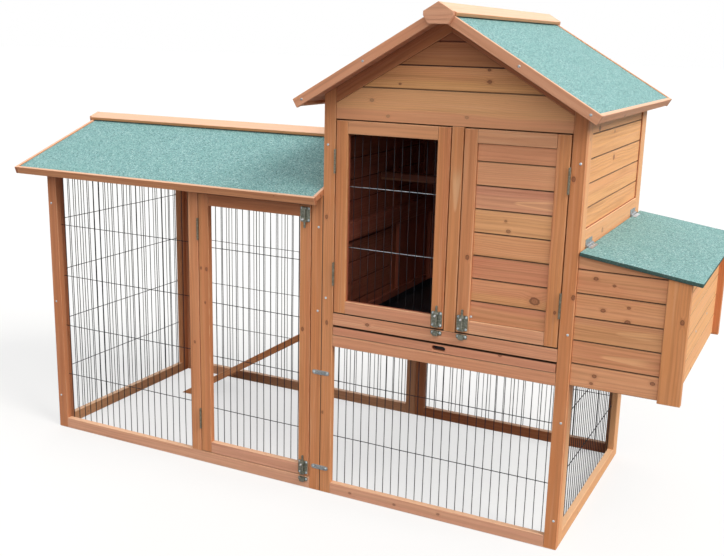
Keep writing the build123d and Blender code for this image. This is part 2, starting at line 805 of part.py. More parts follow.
with BuildPart() as run_door_leaves:
    for z in run_hinges:
        door_leaf(run_door_axis, 1, z, MIDDLE_KNUCKLE)
save(run_door_leaves, "run_door_leaves")

with BuildPart() as mesh_door_leaves:
    for z in house_hinges:
        door_leaf(mesh_door_axis, 1, z, MIDDLE_KNUCKLE)
save(mesh_door_leaves, "mesh_door_leaves")

with BuildPart() as board_door_leaves:
    for z in house_hinges:
        door_leaf(board_door_axis, -1, z, MIDDLE_KNUCKLE)
save(board_door_leaves, "board_door_leaves")

with BuildPart() as lid_leaves:
    for y in lid_hinges:
        lid_leaf(y)
save(lid_leaves, "lid_leaves")

with BuildPart() as hinge_pins:
    pins = [(run_door_axis, z) for z in run_hinges]
    pins += [(axis_x, z) for axis_x in (mesh_door_axis, board_door_axis) for z in house_hinges]
    for axis_x, z in pins:
        with Locations((axis_x, barrel_y, z)):
            Cylinder(pin_r, hinge_length)
    for y in lid_hinges:
        with Locations((lid_axis_x, y, lid_axis_z)):
            Cylinder(pin_r, hinge_length, rotation=(90, 0, 0))
save(hinge_pins, "hinge_pins")

# Bolts: each slides in two guide blocks on a plate and shoots past the door's edge into a keeper.
# A bolt is placed by the door edge that it crosses; shoot is 1 where it shoots up, -1 where it shoots down.
guide_y = (bolt_y - bolt_r - guide_wall, front)
plate_y = (front - bolt_plate_t, front)
guide_t0 = bolt_set + guide_block_length / 5
guide_t1 = bolt_set + bolt_plate_length - guide_block_length / 5
knob_t = guide_t1 - guide_block_length - knob_r - bolt_stand


def bolt_span(edge, shoot, t):
    """Low and high z of a stretch that is measured from the door's edge into the door."""
    return sorted((edge - shoot * t[0], edge - shoot * t[1]))


def bolt_loop(x, span, hole_r):
    """Adds a block on the front of the coop with an upright hole for a bolt."""
    timber((x - guide_block / 2, x + guide_block / 2), guide_y, span)
    with Locations((x, bolt_y, (span[0] + span[1]) / 2)):
        Cylinder(hole_r, span[1] - span[0], mode=Mode.SUBTRACT)


def bolt_plate(x, edge, shoot):
    """Adds the plate and guide blocks of a bolt."""
    half = bolt_plate_width / 2
    timber((x - half, x + half), plate_y, bolt_span(edge, shoot, (bolt_set, bolt_set + bolt_plate_length)))
    for t in (guide_t0, guide_t1 - guide_block_length):
        bolt_loop(x, bolt_span(edge, shoot, (t, t + guide_block_length)), bolt_r + bolt_play)


def bolt_keeper(x, edge, shoot):
    """Adds the keeper of a bolt, on the rail that the door closes against."""
    half = bolt_plate_width / 2
    near = -door_gap - bolt_set / 5
    span = bolt_span(edge, shoot, (near, near - keeper_length))
    timber((x - half, x + half), plate_y, span)
    staple_y = (bolt_y - bolt_r - keeper_play - guide_wall, front)
    timber((x - guide_block / 2, x + guide_block / 2), staple_y, span)
    room = bolt_r + keeper_play
    with Locations((x, front - bolt_plate_t, (span[0] + span[1]) / 2)):
        window = (2 * room, front - bolt_plate_t - (bolt_y - room), span[1] - span[0])
        Box(*window, align=(Align.CENTER, Align.MAX, Align.CENTER), mode=Mode.SUBTRACT)


def bolt_rod(x, edge, shoot):
    """Adds a bolt with its knob, drawn back so that its door is free."""
    span = bolt_span(edge, shoot, (guide_t0, guide_t1 + bolt_travel))
    with Locations((x, bolt_y, (span[0] + span[1]) / 2)):
        Cylinder(bolt_r, span[1] - span[0])
    with Locations((x, bolt_y - knob_reach / 2, edge - shoot * knob_t)):
        Cylinder(knob_r, knob_reach, rotation=(90, 0, 0))


run_bolt_x = run_door_x1 - member / 2
mesh_bolt_x = mesh_door_x1 - member / 2
board_bolt_x = board_door_x0 + member / 2
run_top = (run_bolt_x, run_door_z1, 1)
run_bottom = (run_bolt_x, run_door_z0, -1)
mesh_bolt = (mesh_bolt_x, door_z0, -1)
board_bolt = (board_bolt_x, door_z0, -1)

with BuildPart() as run_bolt_plates:
    bolt_plate(*run_top)
    bolt_plate(*run_bottom)
save(run_bolt_plates, "run_bolt_plates")

with BuildPart() as mesh_bolt_plate:
    bolt_plate(*mesh_bolt)
save(mesh_bolt_plate, "mesh_bolt_plate")

with BuildPart() as board_bolt_plate:
    bolt_plate(*board_bolt)
save(board_bolt_plate, "board_bolt_plate")

with BuildPart() as bolt_keepers:
    for bolt in (run_top, run_bottom, mesh_bolt, board_bolt):
        bolt_keeper(*bolt)
save(bolt_keepers, "bolt_keepers")

with BuildPart() as run_top_bolt:
    bolt_rod(*run_top)
save(run_top_bolt, "run_top_bolt")

with BuildPart() as run_bottom_bolt:
    bolt_rod(*run_bottom)
save(run_bottom_bolt, "run_bottom_bolt")

with BuildPart() as mesh_door_bolt:
    bolt_rod(*mesh_bolt)
save(mesh_door_bolt, "mesh_door_bolt")

with BuildPart() as board_door_bolt:
    bolt_rod(*board_bolt)
save(board_door_bolt, "board_door_bolt")

# Straps across the joint between run and house
with BuildPart() as tie_straps:
    for z in (strap_low, strap_high):
        with BuildSketch(front_plane(front)) as strap:
            with Locations(((run_x1 + house_x0) / 2, z)):
                SlotOverall(strap_length, strap_height)
        extrude(strap.sketch, amount=strap_t)
save(tie_straps, "tie_straps")

# Screws that hold the front and back frames to the side frames
with BuildPart() as panel_screws:
    house_levels = (screw_low, screw_high)
    run_levels = (run_screw_low, (run_screw_low + run_screw_high) / 2, run_screw_high)
    leg_levels = (leg_screw_low, leg_screw_high) + house_levels
    corners = [
        (house_x1 - screw_in, leg_levels),
        (house_x0 + screw_in, house_levels),
        (run_x0 + screw_in, run_levels),
    ]
    for x, levels in corners:
        for z in levels:
            for face, inward in ((front, 1), (back, -1)):
                with Locations((x, face - inward * screw_head_t / 2, z)):
                    Cylinder(screw_head_r, screw_head_t, rotation=(90, 0, 0))
                with Locations((x, face + inward * screw_length / 2, z)):
                    Cylinder(screw_r, screw_length, rotation=(90, 0, 0))
save(panel_screws, "panel_screws")
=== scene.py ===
"""The looks of a wooden chicken coop: stained fir, welded nets, roofing felt and zinc fittings, in metres.

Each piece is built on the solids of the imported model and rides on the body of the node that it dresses.
"""

import json
import math
import random

import bmesh
import bpy
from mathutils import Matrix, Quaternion, Vector


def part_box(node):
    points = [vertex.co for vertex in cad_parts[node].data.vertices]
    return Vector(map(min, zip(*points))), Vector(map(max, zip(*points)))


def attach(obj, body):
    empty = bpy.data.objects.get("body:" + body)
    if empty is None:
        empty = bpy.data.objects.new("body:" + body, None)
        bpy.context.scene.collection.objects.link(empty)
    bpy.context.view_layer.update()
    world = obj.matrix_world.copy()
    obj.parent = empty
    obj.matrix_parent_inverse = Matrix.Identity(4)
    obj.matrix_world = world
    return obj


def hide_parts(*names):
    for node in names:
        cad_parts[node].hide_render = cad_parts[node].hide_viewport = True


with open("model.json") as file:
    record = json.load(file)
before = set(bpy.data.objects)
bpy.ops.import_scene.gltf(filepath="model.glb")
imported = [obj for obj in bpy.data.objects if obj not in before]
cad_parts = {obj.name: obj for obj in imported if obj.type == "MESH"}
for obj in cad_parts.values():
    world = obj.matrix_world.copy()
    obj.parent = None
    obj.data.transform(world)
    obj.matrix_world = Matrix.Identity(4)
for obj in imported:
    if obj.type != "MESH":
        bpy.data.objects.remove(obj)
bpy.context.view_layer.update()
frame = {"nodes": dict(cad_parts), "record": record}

# Which node has which slot and body
SLOT_OF = {part["node"]: part["material_slot"] for part in frame["record"]["subparts"]}
BODY_OF = {node: body for body, nodes in frame["record"]["behaviour"]["bodies"].items() for node in nodes}

# Meshes
WELD = 1e-6
FLAT_ANGLE = math.radians(1)
SHARP_ANGLE = math.radians(40)
TIMBER_EASE = 0.0014
METAL_EASE = 0.0004
PLATE_CORNER = 0.004

# Places that the pieces share
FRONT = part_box("house_front_frame")[0].y
HOUSE_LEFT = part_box("house_front_frame")[0].x
HOUSE_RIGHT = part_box("house_front_frame")[1].x
HOUSE_MIDDLE = (HOUSE_LEFT + HOUSE_RIGHT) / 2
RUN_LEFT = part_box("run_front_frame")[0].x
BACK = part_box("house_back_frame")[1].y
ROOF_PITCH = math.radians(30.2)


def srgb(red, green, blue):
    """A colour given as 0 to 255 on a screen, as the linear colour that shaders take."""
    parts = [c / 255 for c in (red, green, blue)]
    return (*[c / 12.92 if c <= 0.04045 else ((c + 0.055) / 1.055) ** 2.4 for c in parts], 1.0)


# Shader sums

# The Mix node's sockets for colours
MIX_INPUTS = (0, 6, 7)
MIX_OUTPUT = 2


class Number:
    """A number that a node works out, so that a shader's sums read as plain sums."""

    def __init__(self, shader, socket):
        self.shader = shader
        self.socket = socket

    def math(self, operation, *others):
        return self.shader.math(operation, self, *others)

    def __add__(self, other):
        return self.math("ADD", other)

    def __sub__(self, other):
        return self.math("SUBTRACT", other)

    def __mul__(self, other):
        return self.math("MULTIPLY", other)

    def __truediv__(self, other):
        return self.math("DIVIDE", other)

    def __pow__(self, other):
        return self.math("POWER", other)

    def __abs__(self):
        return self.math("ABSOLUTE")


class Nodes:
    """A node tree. Each call adds a node and gives its output."""

    def __init__(self, tree):
        self.tree = tree

    def put(self, socket, value):
        """Links an output to a socket, or sets the socket's own value."""
        if isinstance(value, Number):
            value = value.socket
        if isinstance(value, bpy.types.NodeSocket):
            self.tree.links.new(value, socket)
        else:
            socket.default_value = value

    def node(self, kind, inputs, **settings):
        node = self.tree.nodes.new(kind)
        for key, value in settings.items():
            setattr(node, key, value)
        for key, value in inputs.items():
            self.put(node.inputs[key], value)
        return node

    def math(self, operation, *values):
        node = self.node("ShaderNodeMath", dict(enumerate(values)), operation=operation)
        return Number(self, node.outputs[0])

    def vector(self, operation, *values):
        node = self.node("ShaderNodeVectorMath", dict(enumerate(values)), operation=operation)
        return node.outputs["Vector"]

    def parts(self, vector):
        node = self.node("ShaderNodeSeparateXYZ", {"Vector": vector})
        return [Number(self, socket) for socket in node.outputs]

    def attribute(self, name):
        return self.node("ShaderNodeAttribute", {}, attribute_name=name).outputs["Vector"]

    def place(self):
        """Where a point of the piece is at rest."""
        return self.node("ShaderNodeTexCoord", {}).outputs["Object"]

    def facing_up(self):
        """How far a face of the piece looks up at rest."""
        return self.parts(self.node("ShaderNodeTexCoord", {}).outputs["Normal"])[2]

    def noise(self, vector, scale, detail):
        """Smooth noise, finer where scale is larger: one number, or one for each axis."""
        stretch = scale if isinstance(scale, tuple) else (scale, scale, scale)
        inputs = {"Vector": self.vector("MULTIPLY", vector, stretch), "Scale": 1.0, "Detail": detail}
        return Number(self, self.node("ShaderNodeTexNoise", inputs).outputs[0])

    def cells(self, vector, scale):
        """Small cells: the distance from each one's middle, and its own random number."""
        node = self.node("ShaderNodeTexVoronoi", {"Vector": vector, "Scale": scale})
        return Number(self, node.outputs["Distance"]), self.parts(node.outputs["Color"])[0]

    def step(self, value, low, high):
        """0 at low and 1 at high, with a smooth change between them."""
        inputs = {"Value": value, "From Min": low, "From Max": high}
        node = self.node("ShaderNodeMapRange", inputs, interpolation_type="SMOOTHSTEP")
        return Number(self, node.outputs[0])

    def share(self, value, low, high, most):
        """0 at low and most at high, with a smooth change between them."""
        return self.step(value, low, high) * most

    def mix(self, amount, first, second):
        """The first colour where amount is 0, and the second where it is 1."""
        inputs = dict(zip(MIX_INPUTS, (amount, first, second)))
        return self.node("ShaderNodeMix", inputs, data_type="RGBA").outputs[MIX_OUTPUT]


class Shader(Nodes):
    """A material's node tree."""

    def __init__(self, name):
        self.material = bpy.data.materials.new(name)
        self.material.use_nodes = True
        super().__init__(self.material.node_tree)
        self.surface = self.tree.nodes["Principled BSDF"]

    def finish(self, colour, roughness, height, relief, **constants):
        """Gives the surface its colour, roughness and relief, and values that are the same all over."""
        bump = self.node("ShaderNodeBump", {"Height": height, "Distance": relief, "Strength": 1.0})
        self.put(self.surface.inputs["Base Color"], colour)
        self.put(self.surface.inputs["Roughness"], roughness)
        self.put(self.surface.inputs["Normal"], bump.outputs["Normal"])
        for key, value in constants.items():
            self.surface.inputs[key.replace("_", " ")].default_value = value
        return self.material


# Materials

# How fine the wood's noises are along, across and through a board, and their detail
DRIFT = ((4.0, 11.0, 11.0), 1.0)
STREAKS = ((2.6, 95.0, 95.0), 3.0)
BLOTCHES = ((7.0, 30.0, 30.0), 2.0)
FIBRES = ((22.0, 1100.0, 1100.0), 2.0)
FLECKS = ((55.0, 420.0, 420.0), 1.0)
WEAR_AND_HIGHLIGHT = ((30.0, 300.0, 300.0), 2.0)
KNOT_WOBBLE = (260.0, 1.0)

# Where a mark on the wood starts, where it is full and, for some, its greatest share
LATE_START = (0.25, 0.85)
LATE_END = (1.0, 0.9)
DARK_STREAK = (0.5, 0.72, 0.3)
PALE_STREAK = (0.48, 0.28, 0.22)
DARK_FIBRE = (0.35, 0.75, 0.09)
DARK_FLECK = (0.7, 0.8, 0.16)
STREAK_TIP = (0.0, 0.12)
STREAK_TAIL = (1.0, 0.55)
KNOT_PUSH = (4.0, 0.6)
HEART_RING = (0.2, 0.8)
HALO = (2.6, 0.9, 0.25)
HEART = (1.15, 0.85)
RIM = (0.3, 0.06, 0.55)
HOLLOW = (1.2, 0.8, 0.4)
WORN_LIT_SPOT = (0.3, 0.65)
END_GRAIN = (0.0012, 0.0002, 0.45)
DARKER = (0.5, 0.0, 0.4)
DEEP_PAINTED_SHADE = (0.0, -1.0, 0.65)
PALER = (0.5, 1.0, 0.3)
LIT_FROM_ABOVE = (0.45, 0.85)

DARK = srgb(138, 70, 44)
WOOD_RELIEF = 0.0005
RING_WIDTH = 0.0042
RING_WAVER = 1.2
LATE_SHARE = 0.18
GRAIN_DRIFT = 0.016
STREAK_WARMTH = 0.7
BLOTCH_WARMTH = 0.4
BLOTCH_PINKNESS = 0.3
BAND_EDGE = 0.006
STREAK_SPREAD = 0.011
STREAK_CURVE = 0.7
STREAK_DRIFT = 0.01
STREAK_EDGE = 0.0028
KNOT_NAMES = ("knot_a", "knot_b", "knot_c")
KNOT_LENGTH = 1.35
KNOT_UNEVEN = 0.5
HEART_RINGS = 2.6
HEART_SHARE = 0.42
RINGS_SHARE = 0.3
RIM_RADIUS = 0.95
KNOT_HALO = srgb(164, 88, 58)
KNOT_HEART = srgb(112, 62, 42)
KNOT_RIM = srgb(70, 38, 28)
WORN_LIT_EDGE = 0.0024
WORN_LIT_SHARE = 0.35
WORN_LIT_LESS = 0.3
GROOVE_SHADE_EDGE = 0.0016
GROOVE_STAIN_AND_SHADE = srgb(74, 40, 28)
GAP_SHADE_EDGE = 0.0006
GAP_SHADE = srgb(24, 13, 9)
GAP_SHADE_SHARE = 0.85
INSIDE_SHADE = srgb(152, 72, 57)
INSIDE_SHADE_SHARE = 0.8

# The inside of the house's closed part, which is drawn darker: painted shade
INSIDE_LOW = (HOUSE_LEFT + 0.003, FRONT + 0.009, 0.47)
INSIDE_HIGH = (HOUSE_RIGHT - 0.003, BACK - 0.009, 1.34)
SOFT_EDGE = 0.001
INWARD = 0.05

# Gaps where shadow is painted: half their width or height, and how far before and behind the front they reach
SEAM_HALF = 0.0019
SEAM_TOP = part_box("run_front_frame")[1].z
SEAM_BEFORE = (FRONT - 0.006, FRONT - 0.003)
SEAM_BEHIND = (FRONT + 0.04, FRONT + 0.03)
SILL_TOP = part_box("mesh_door_frame")[0].z - 0.003
TRAY_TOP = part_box("tray_front")[1].z
TOP_HALF = 0.0012
TOP_LOOKS_UP = (0.6, 0.9)
TOP_BEHIND = (FRONT + 0.05, FRONT + 0.04)

# From where to where, towards the front, the painted glint on the bolts' knobs reaches
KNOB_START = (FRONT - 0.0115, FRONT - 0.012)
KNOB_END = (FRONT - 0.034, FRONT - 0.032)
KNOB_GLINT = srgb(236, 240, 244)


def knot_field(s, along, across):
    """Distance from the nearest knot, in knot radii, and how far the knots push the grain aside."""
    nearest = None
    push = None
    for name in KNOT_NAMES:
        at_along, at_across, radius = s.parts(s.attribute(name))
        aside = across - at_across
        far = ((((along - at_along) / KNOT_LENGTH) ** 2 + aside ** 2) ** 0.5) / radius
        shove = s.step(far, *KNOT_PUSH) * radius * aside.math("SIGN")
        nearest = far if nearest is None else nearest.math("MINIMUM", far)
        push = shove if push is None else push + shove
    return nearest, push


def edge_distance(s, along, across, through):
    """How far a point is from the board's nearest edge, whichever face it is on, its end and its side."""
    length, width, depth = s.parts(s.attribute("half"))
    a = length - abs(along)
    b = width - abs(across)
    c = depth - abs(through)
    middle = a.math("MINIMUM", b).math("MAXIMUM", a.math("MAXIMUM", b).math("MINIMUM", c))
    return middle, a, b


def inside_house(s):
    """1 on faces that look into the house's closed part at rest, and 0 on the others."""
    node = s.node("ShaderNodeTexCoord", {})
    normal = s.parts(node.outputs["Normal"])
    inward = None
    within = None
    for axis, at in enumerate(s.parts(node.outputs["Object"])):
        low = INSIDE_LOW[axis]
        high = INSIDE_HIGH[axis]
        toward = normal[axis] * (at * -1 + (low + high) / 2)
        between = s.step(at, low - SOFT_EDGE, low) * s.step(at, high + SOFT_EDGE, high)
        inward = toward if inward is None else inward + toward
        within = between if within is None else within * between
    return s.step(inward, 0.0, INWARD) * within


def shade_gaps(s):
    """Painted shadow: 1 in the seam between the run and the house, and on the tops of the sill and the tray's
    front, which show only through the gaps above them; 0 elsewhere."""
    x, y, z = s.parts(s.place())
    on_front = s.step(y, *SEAM_BEHIND) * s.step(y, *SEAM_BEFORE)
    seam = s.step(abs(x - HOUSE_LEFT), SEAM_HALF, SEAM_HALF / 2)
    seam = seam * on_front * s.step(z, SEAM_TOP + SOFT_EDGE, SEAM_TOP)
    level = s.step(abs(z - SILL_TOP), TOP_HALF, TOP_HALF / 2)
    level = level.math("MAXIMUM", s.step(abs(z - TRAY_TOP), TOP_HALF, TOP_HALF / 2))
    tops = level * s.step(s.facing_up(), *TOP_LOOKS_UP) * s.step(y, *TOP_BEHIND)
    return seam.math("MAXIMUM", tops * s.step(x, HOUSE_LEFT, HOUSE_LEFT + SOFT_EDGE))


def wood(name, red, yellow, rose, pale, painted_top_light, groove_stain_and_shade=0.0, on_roof=False):
    """Stained fir, drawn along each board's own grain: growth rings round a pith, bands, streaks and knots.
    Faces that look up at rest are paler by the share given for painted top light: painted light from above.
    Stain and painted shade lie dark along the long edges by the share given for them, and the inside of the
    house is darker: painted shade. Trim on the roof takes no painted shade from the inside or the gaps."""
    s = Shader(name)
    grain = s.attribute("grain")
    along, across, through = s.parts(grain)
    warmth, pinkness, shade = s.parts(s.attribute("tone"))
    pith_across, pith_through, band_at = s.parts(s.attribute("pith"))
    tip, middle, length = s.parts(s.attribute("streak"))
    band, fill, outline = s.parts(s.attribute("band"))
    place = s.vector("ADD", grain, s.attribute("origin"))

    drift = s.noise(place, *DRIFT) - 0.5
    streaks = s.noise(place, *STREAKS)
    blotches = s.noise(place, *BLOTCHES)
    fibres = s.noise(place, *FIBRES)
    flecks = s.noise(place, *FLECKS)
    far, push = knot_field(s, along, across)
    edge, end, side = edge_distance(s, along, across, through)

    # Growth rings, bent by slow drift and pushed aside by knots
    bent = across + push + drift * GRAIN_DRIFT
    ring = ((bent - pith_across) ** 2 + (through - pith_through) ** 2) ** 0.5
    turn = (ring / RING_WIDTH + streaks * RING_WAVER).math("FRACT")
    late = s.step(turn, *LATE_START) * s.step(turn, *LATE_END)

    # Red heartwood to yellow sapwood, in a band on one side of some boards, and a rosy cast on others
    banded = s.step(across + drift * GRAIN_DRIFT, band_at - BAND_EDGE, band_at + BAND_EDGE) * band
    tone = warmth + (streaks - 0.5) * STREAK_WARMTH + (blotches - 0.5) * BLOTCH_WARMTH + banded
    colour = s.mix(s.step(tone, 0.0, 1.0), red, yellow)
    colour = s.mix(pinkness + (blotches - 0.5) * BLOTCH_PINKNESS, colour, rose)
    colour = s.mix(s.share(streaks, *DARK_STREAK), colour, DARK)
    colour = s.mix(s.share(streaks, *PALE_STREAK), colour, pale)
    colour = s.mix(late * LATE_SHARE, colour, DARK)
    colour = s.mix(s.share(fibres, *DARK_FIBRE), colour, DARK)
    colour = s.mix(s.share(flecks, *DARK_FLECK), colour, DARK)

    # A pale streak that opens like a V from its tip
    run = (along - tip) / length
    spread = run.math("MAXIMUM", 0.0) ** STREAK_CURVE * STREAK_SPREAD
    aside = abs(across - middle + drift * STREAK_DRIFT) - spread
    inside = s.step(aside, STREAK_EDGE, -STREAK_EDGE)
    rim = s.step(abs(aside), STREAK_EDGE, 0.0)
    open_end = s.step(run, *STREAK_TIP) * s.step(run, *STREAK_TAIL)
    colour = s.mix((inside * fill + rim * outline) * open_end, colour, pale)

    # Knots: a faint red halo, a brown heart with rings, a darker rim
    wobble = far + (s.noise(place, *KNOT_WOBBLE) - 0.5) * KNOT_UNEVEN
    rings = s.step((wobble * HEART_RINGS).math("FRACT"), *HEART_RING)
    heart = s.step(wobble, *HEART) * (rings * RINGS_SHARE + HEART_SHARE)
    colour = s.mix(s.share(wobble, *HALO), colour, KNOT_HALO)
    colour = s.mix(heart, colour, KNOT_HEART)
    colour = s.mix(s.share(abs(wobble - RIM_RADIUS), *RIM), colour, KNOT_RIM)

    # Arrises paler from wear and painted highlight, stain and painted shade along the long edges, darker end
    # grain, each board a little lighter or darker (on some a painted shade or painted light), and paler tops:
    # painted light
    # Wear, and painted highlight where light catches the arrises
    wear_and_highlight = s.step(edge, WORN_LIT_EDGE, WORN_LIT_EDGE / 4) * s.step(s.noise(place, *WEAR_AND_HIGHLIGHT), *WORN_LIT_SPOT)
    colour = s.mix(wear_and_highlight * (WORN_LIT_SHARE - WORN_LIT_LESS * groove_stain_and_shade), colour, pale)
    # Stain and painted shade along the long edges, and nearly black painted shadow right at the gaps
    colour = s.mix(s.share(side, GROOVE_SHADE_EDGE, GROOVE_SHADE_EDGE / 3, groove_stain_and_shade), colour, GROOVE_STAIN_AND_SHADE)
    colour = s.mix(s.share(side, GAP_SHADE_EDGE, GAP_SHADE_EDGE / 3, groove_stain_and_shade), colour, GAP_SHADE)
    colour = s.mix(s.share(end, *END_GRAIN), colour, DARK)
    colour = s.mix(s.share(shade, *DARKER), colour, DARK)
    # Painted shade: only the gable's top boards, under the roof, have a shade below 0
    colour = s.mix(s.share(shade, *DEEP_PAINTED_SHADE), colour, DARK)
    colour = s.mix(s.share(shade, *PALER), colour, pale)
    # Painted light: faces that look up at rest are paler
    colour = s.mix(s.share(s.facing_up(), *LIT_FROM_ABOVE, painted_top_light), colour, pale)
    if not on_roof:
        # Painted shade on faces that look into the house
        colour = s.mix(inside_house(s) * INSIDE_SHADE_SHARE, colour, INSIDE_SHADE)
        # Painted shadow in the seam beside the house and over the sill and the tray's front
        colour = s.mix(shade_gaps(s) * GAP_SHADE_SHARE, colour, GAP_SHADE)

    # Late wood is smoother and stands proud, as fibres do, and knots lie a little deeper
    roughness = streaks * 0.16 + late * -0.08 + 0.48
    height = late * 0.5 + fibres * 0.6 - s.share(far, *HOLLOW)
    return s.finish(colour, roughness, height, WOOD_RELIEF, Specular_IOR_Level=0.35)


# The same two kinds of values for the felt, the zinc, the wire and the pan
CLUMPS = (190.0, 3.0)
MOTTLES = (9.0, 3.0)
RUBS = (420.0, 3.0)
THIN_COAT = (90.0, 3.0)
SCRATCHES = ((7.0, 260.0, 40.0), 3.0)
DUST = (14.0, 4.0)
PALE_CLUMP = (0.3, 0.7)
PALE_GRANULE = (0.78, 0.95, 0.8)
DEEP_GRANULE = (0.26, 0.05, 0.9)
GREEN_MOTTLE = (0.35, 0.7, 0.2)
TURNED_DOWN = (0.55, 0.25, 0.85)
RUBBED_SPOT = (0.52, 0.75, 0.5)
BARE_SPOT = (0.45, 0.75)
DUSTY_SPOT = (0.4, 0.75, 0.6)
SCRATCH = (0.66, 0.8, 0.4)

FELT_LOW = srgb(104, 148, 149)
FELT_HIGH = srgb(130, 171, 172)
FELT_PALE = srgb(182, 209, 210)
FELT_DEEP = srgb(66, 104, 103)
FELT_MOTTLE = srgb(112, 158, 154)
TURNED_DOWN_DARK = srgb(48, 66, 58)
FELT_RELIEF = 0.0011
GRANULES = 420.0
SPANGLES = 260.0
ZINC_RELIEF = 0.00015
THIN_RELIEF = 0.0002
PAN_DARK = srgb(30, 33, 40)
PAN_DUST = srgb(66, 66, 70)
PAN_SCRATCH = srgb(96, 98, 104)


def felt(name):
    """Bitumen felt faced with pale green mineral granules, darker where its edges turn down."""
    s = Shader(name)
    place = s.place()
    middle, own = s.cells(place, GRANULES)
    clumps = s.noise(place, *CLUMPS)
    mottle = s.noise(place, *MOTTLES)
    colour = s.mix(s.step(clumps, *PALE_CLUMP), FELT_LOW, FELT_HIGH)
    colour = s.mix(s.share(own, *PALE_GRANULE), colour, FELT_PALE)
    colour = s.mix(s.share(own, *DEEP_GRANULE), colour, FELT_DEEP)
    colour = s.mix(s.share(mottle, *GREEN_MOTTLE), colour, FELT_MOTTLE)
    # Darker on faces that look sideways or down, where the edges turn down
    colour = s.mix(s.share(s.facing_up(), *TURNED_DOWN), colour, TURNED_DOWN_DARK)
    height = clumps * 0.5 - middle * 0.8
    return s.finish(colour, own * 0.15 + 0.8, height, FELT_RELIEF, Specular_IOR_Level=0.25)


def zinc(name, dull, bright, rubbed):
    """Zinc-plated steel with small spangles and rubbed spots, and a painted glint where the bolts' knobs
    stand out.
    """
    s = Shader(name)
    place = s.place()
    spangle = s.cells(place, SPANGLES)[1]
    rub = s.noise(place, *RUBS)
    colour = s.mix(spangle, dull, bright)
    colour = s.mix(s.share(rub, *RUBBED_SPOT), colour, rubbed)
    out = s.parts(place)[1]
    # Painted glint: zinc that stands out in front, on the bolts' knobs, is near white
    knob_glint = s.step(out, *KNOB_START) * s.step(out, *KNOB_END)
    colour = s.mix(knob_glint, colour, KNOB_GLINT)
    return s.finish(colour, rub * 0.25 + spangle * 0.1 + 0.22, rub, ZINC_RELIEF, Metallic=0.8)


def wire(name, coat, bare):
    """Coated wire, paler where the coat is thin."""
    s = Shader(name)
    thin = s.noise(s.place(), *THIN_COAT)
    colour = s.mix(s.step(thin, *BARE_SPOT), coat, bare)
    return s.finish(colour, thin * 0.2 + 0.42, thin, THIN_RELIEF, Metallic=0.1, Specular_IOR_Level=0.3)


def pan(name):
    """Dark coated sheet with fine scratches."""
    s = Shader(name)
    place = s.place()
    scratches = s.noise(place, *SCRATCHES)
    dust = s.noise(place, *DUST)
    colour = s.mix(s.share(dust, *DUSTY_SPOT), PAN_DARK, PAN_DUST)
    colour = s.mix(s.share(scratches, *SCRATCH), colour, PAN_SCRATCH)
    return s.finish(colour, dust * 0.25 + 0.35, scratches, THIN_RELIEF, Metallic=0.2)


PALE = srgb(240, 200, 158)
AMBER = srgb(252, 199, 147)
CREAM = srgb(216, 175, 146)
ROSE = srgb(222, 164, 138)
SHADED_ROSE = srgb(104, 56, 44)
# In each wood: red, yellow, rose and pale colours, the share of painted light on faces that look up, the
# share of stain and painted shade along the long edges, and whether it is trim on the roof
MATERIALS = {
    "frame_wood": wood("frame_wood", srgb(206, 130, 84), srgb(217, 149, 94), ROSE, PALE, 0.45),
    "board_wood": wood("board_wood", srgb(211, 135, 100), srgb(228, 170, 112), ROSE, AMBER, 0.3, 0.8),
    "trim_wood": wood("trim_wood", srgb(202, 128, 84), srgb(216, 152, 102), ROSE, CREAM, 0.8, on_roof=True),
    # Painted shade: a darker copy of the wood for parts inside the house; the perch's shaded_wood is darker
    # still
    "inner_wood": wood("inner_wood", srgb(166, 92, 60), srgb(188, 120, 78), ROSE, PALE, 0.1),
    "shaded_wood": wood("shaded_wood", srgb(92, 48, 34), srgb(110, 62, 44), SHADED_ROSE, PALE, 0.0),
    "felt": felt("felt"),
    "zinc": zinc("zinc", srgb(122, 116, 98), srgb(156, 151, 136), srgb(88, 80, 64)),
    "dark_zinc": zinc("dark_zinc", srgb(118, 120, 108), srgb(158, 160, 149), srgb(88, 88, 78)),
    "bright_zinc": zinc("bright_zinc", srgb(150, 157, 162), srgb(196, 202, 206), srgb(116, 120, 124)),
    "new_zinc": zinc("new_zinc", srgb(184, 198, 208), srgb(222, 231, 238), srgb(158, 170, 180)),
    "net_wire": wire("net_wire", srgb(22, 24, 31), srgb(44, 48, 58)),
    # Paler wire for the mesh door's level wires: painted sky reflection on their tops
    "sky_lit_wire": wire("sky_lit_wire", srgb(160, 170, 181), srgb(200, 208, 217)),
    "tray_metal": pan("tray_metal"),
}


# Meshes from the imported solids

def connected(face):
    """The faces of the solid that a face belongs to, tagged as they are found."""
    face.tag = True
    found = [face]
    for known in found:
        for edge in known.edges:
            for other in edge.link_faces:
                if not other.tag:
                    other.tag = True
                    found.append(other)
    return found


def lifted(faces):
    """A bmesh of its own with copies of some faces."""
    solid = bmesh.new()
    copies = {}
    for face in faces:
        for vert in face.verts:
            if vert not in copies:
                copies[vert] = solid.verts.new(vert.co)
        solid.faces.new([copies[vert] for vert in face.verts])
    solid.normal_update()
    return solid


def middle_of(solid):
    """The middle of a solid's box."""
    low, high = box_of(solid)
    return (low + high) / 2


def box_of(solid):
    """Lowest and highest corner of a solid."""
    points = [vert.co for vert in solid.verts]
    low = Vector([min(p[axis] for p in points) for axis in range(3)])
    high = Vector([max(p[axis] for p in points) for axis in range(3)])
    return low, high


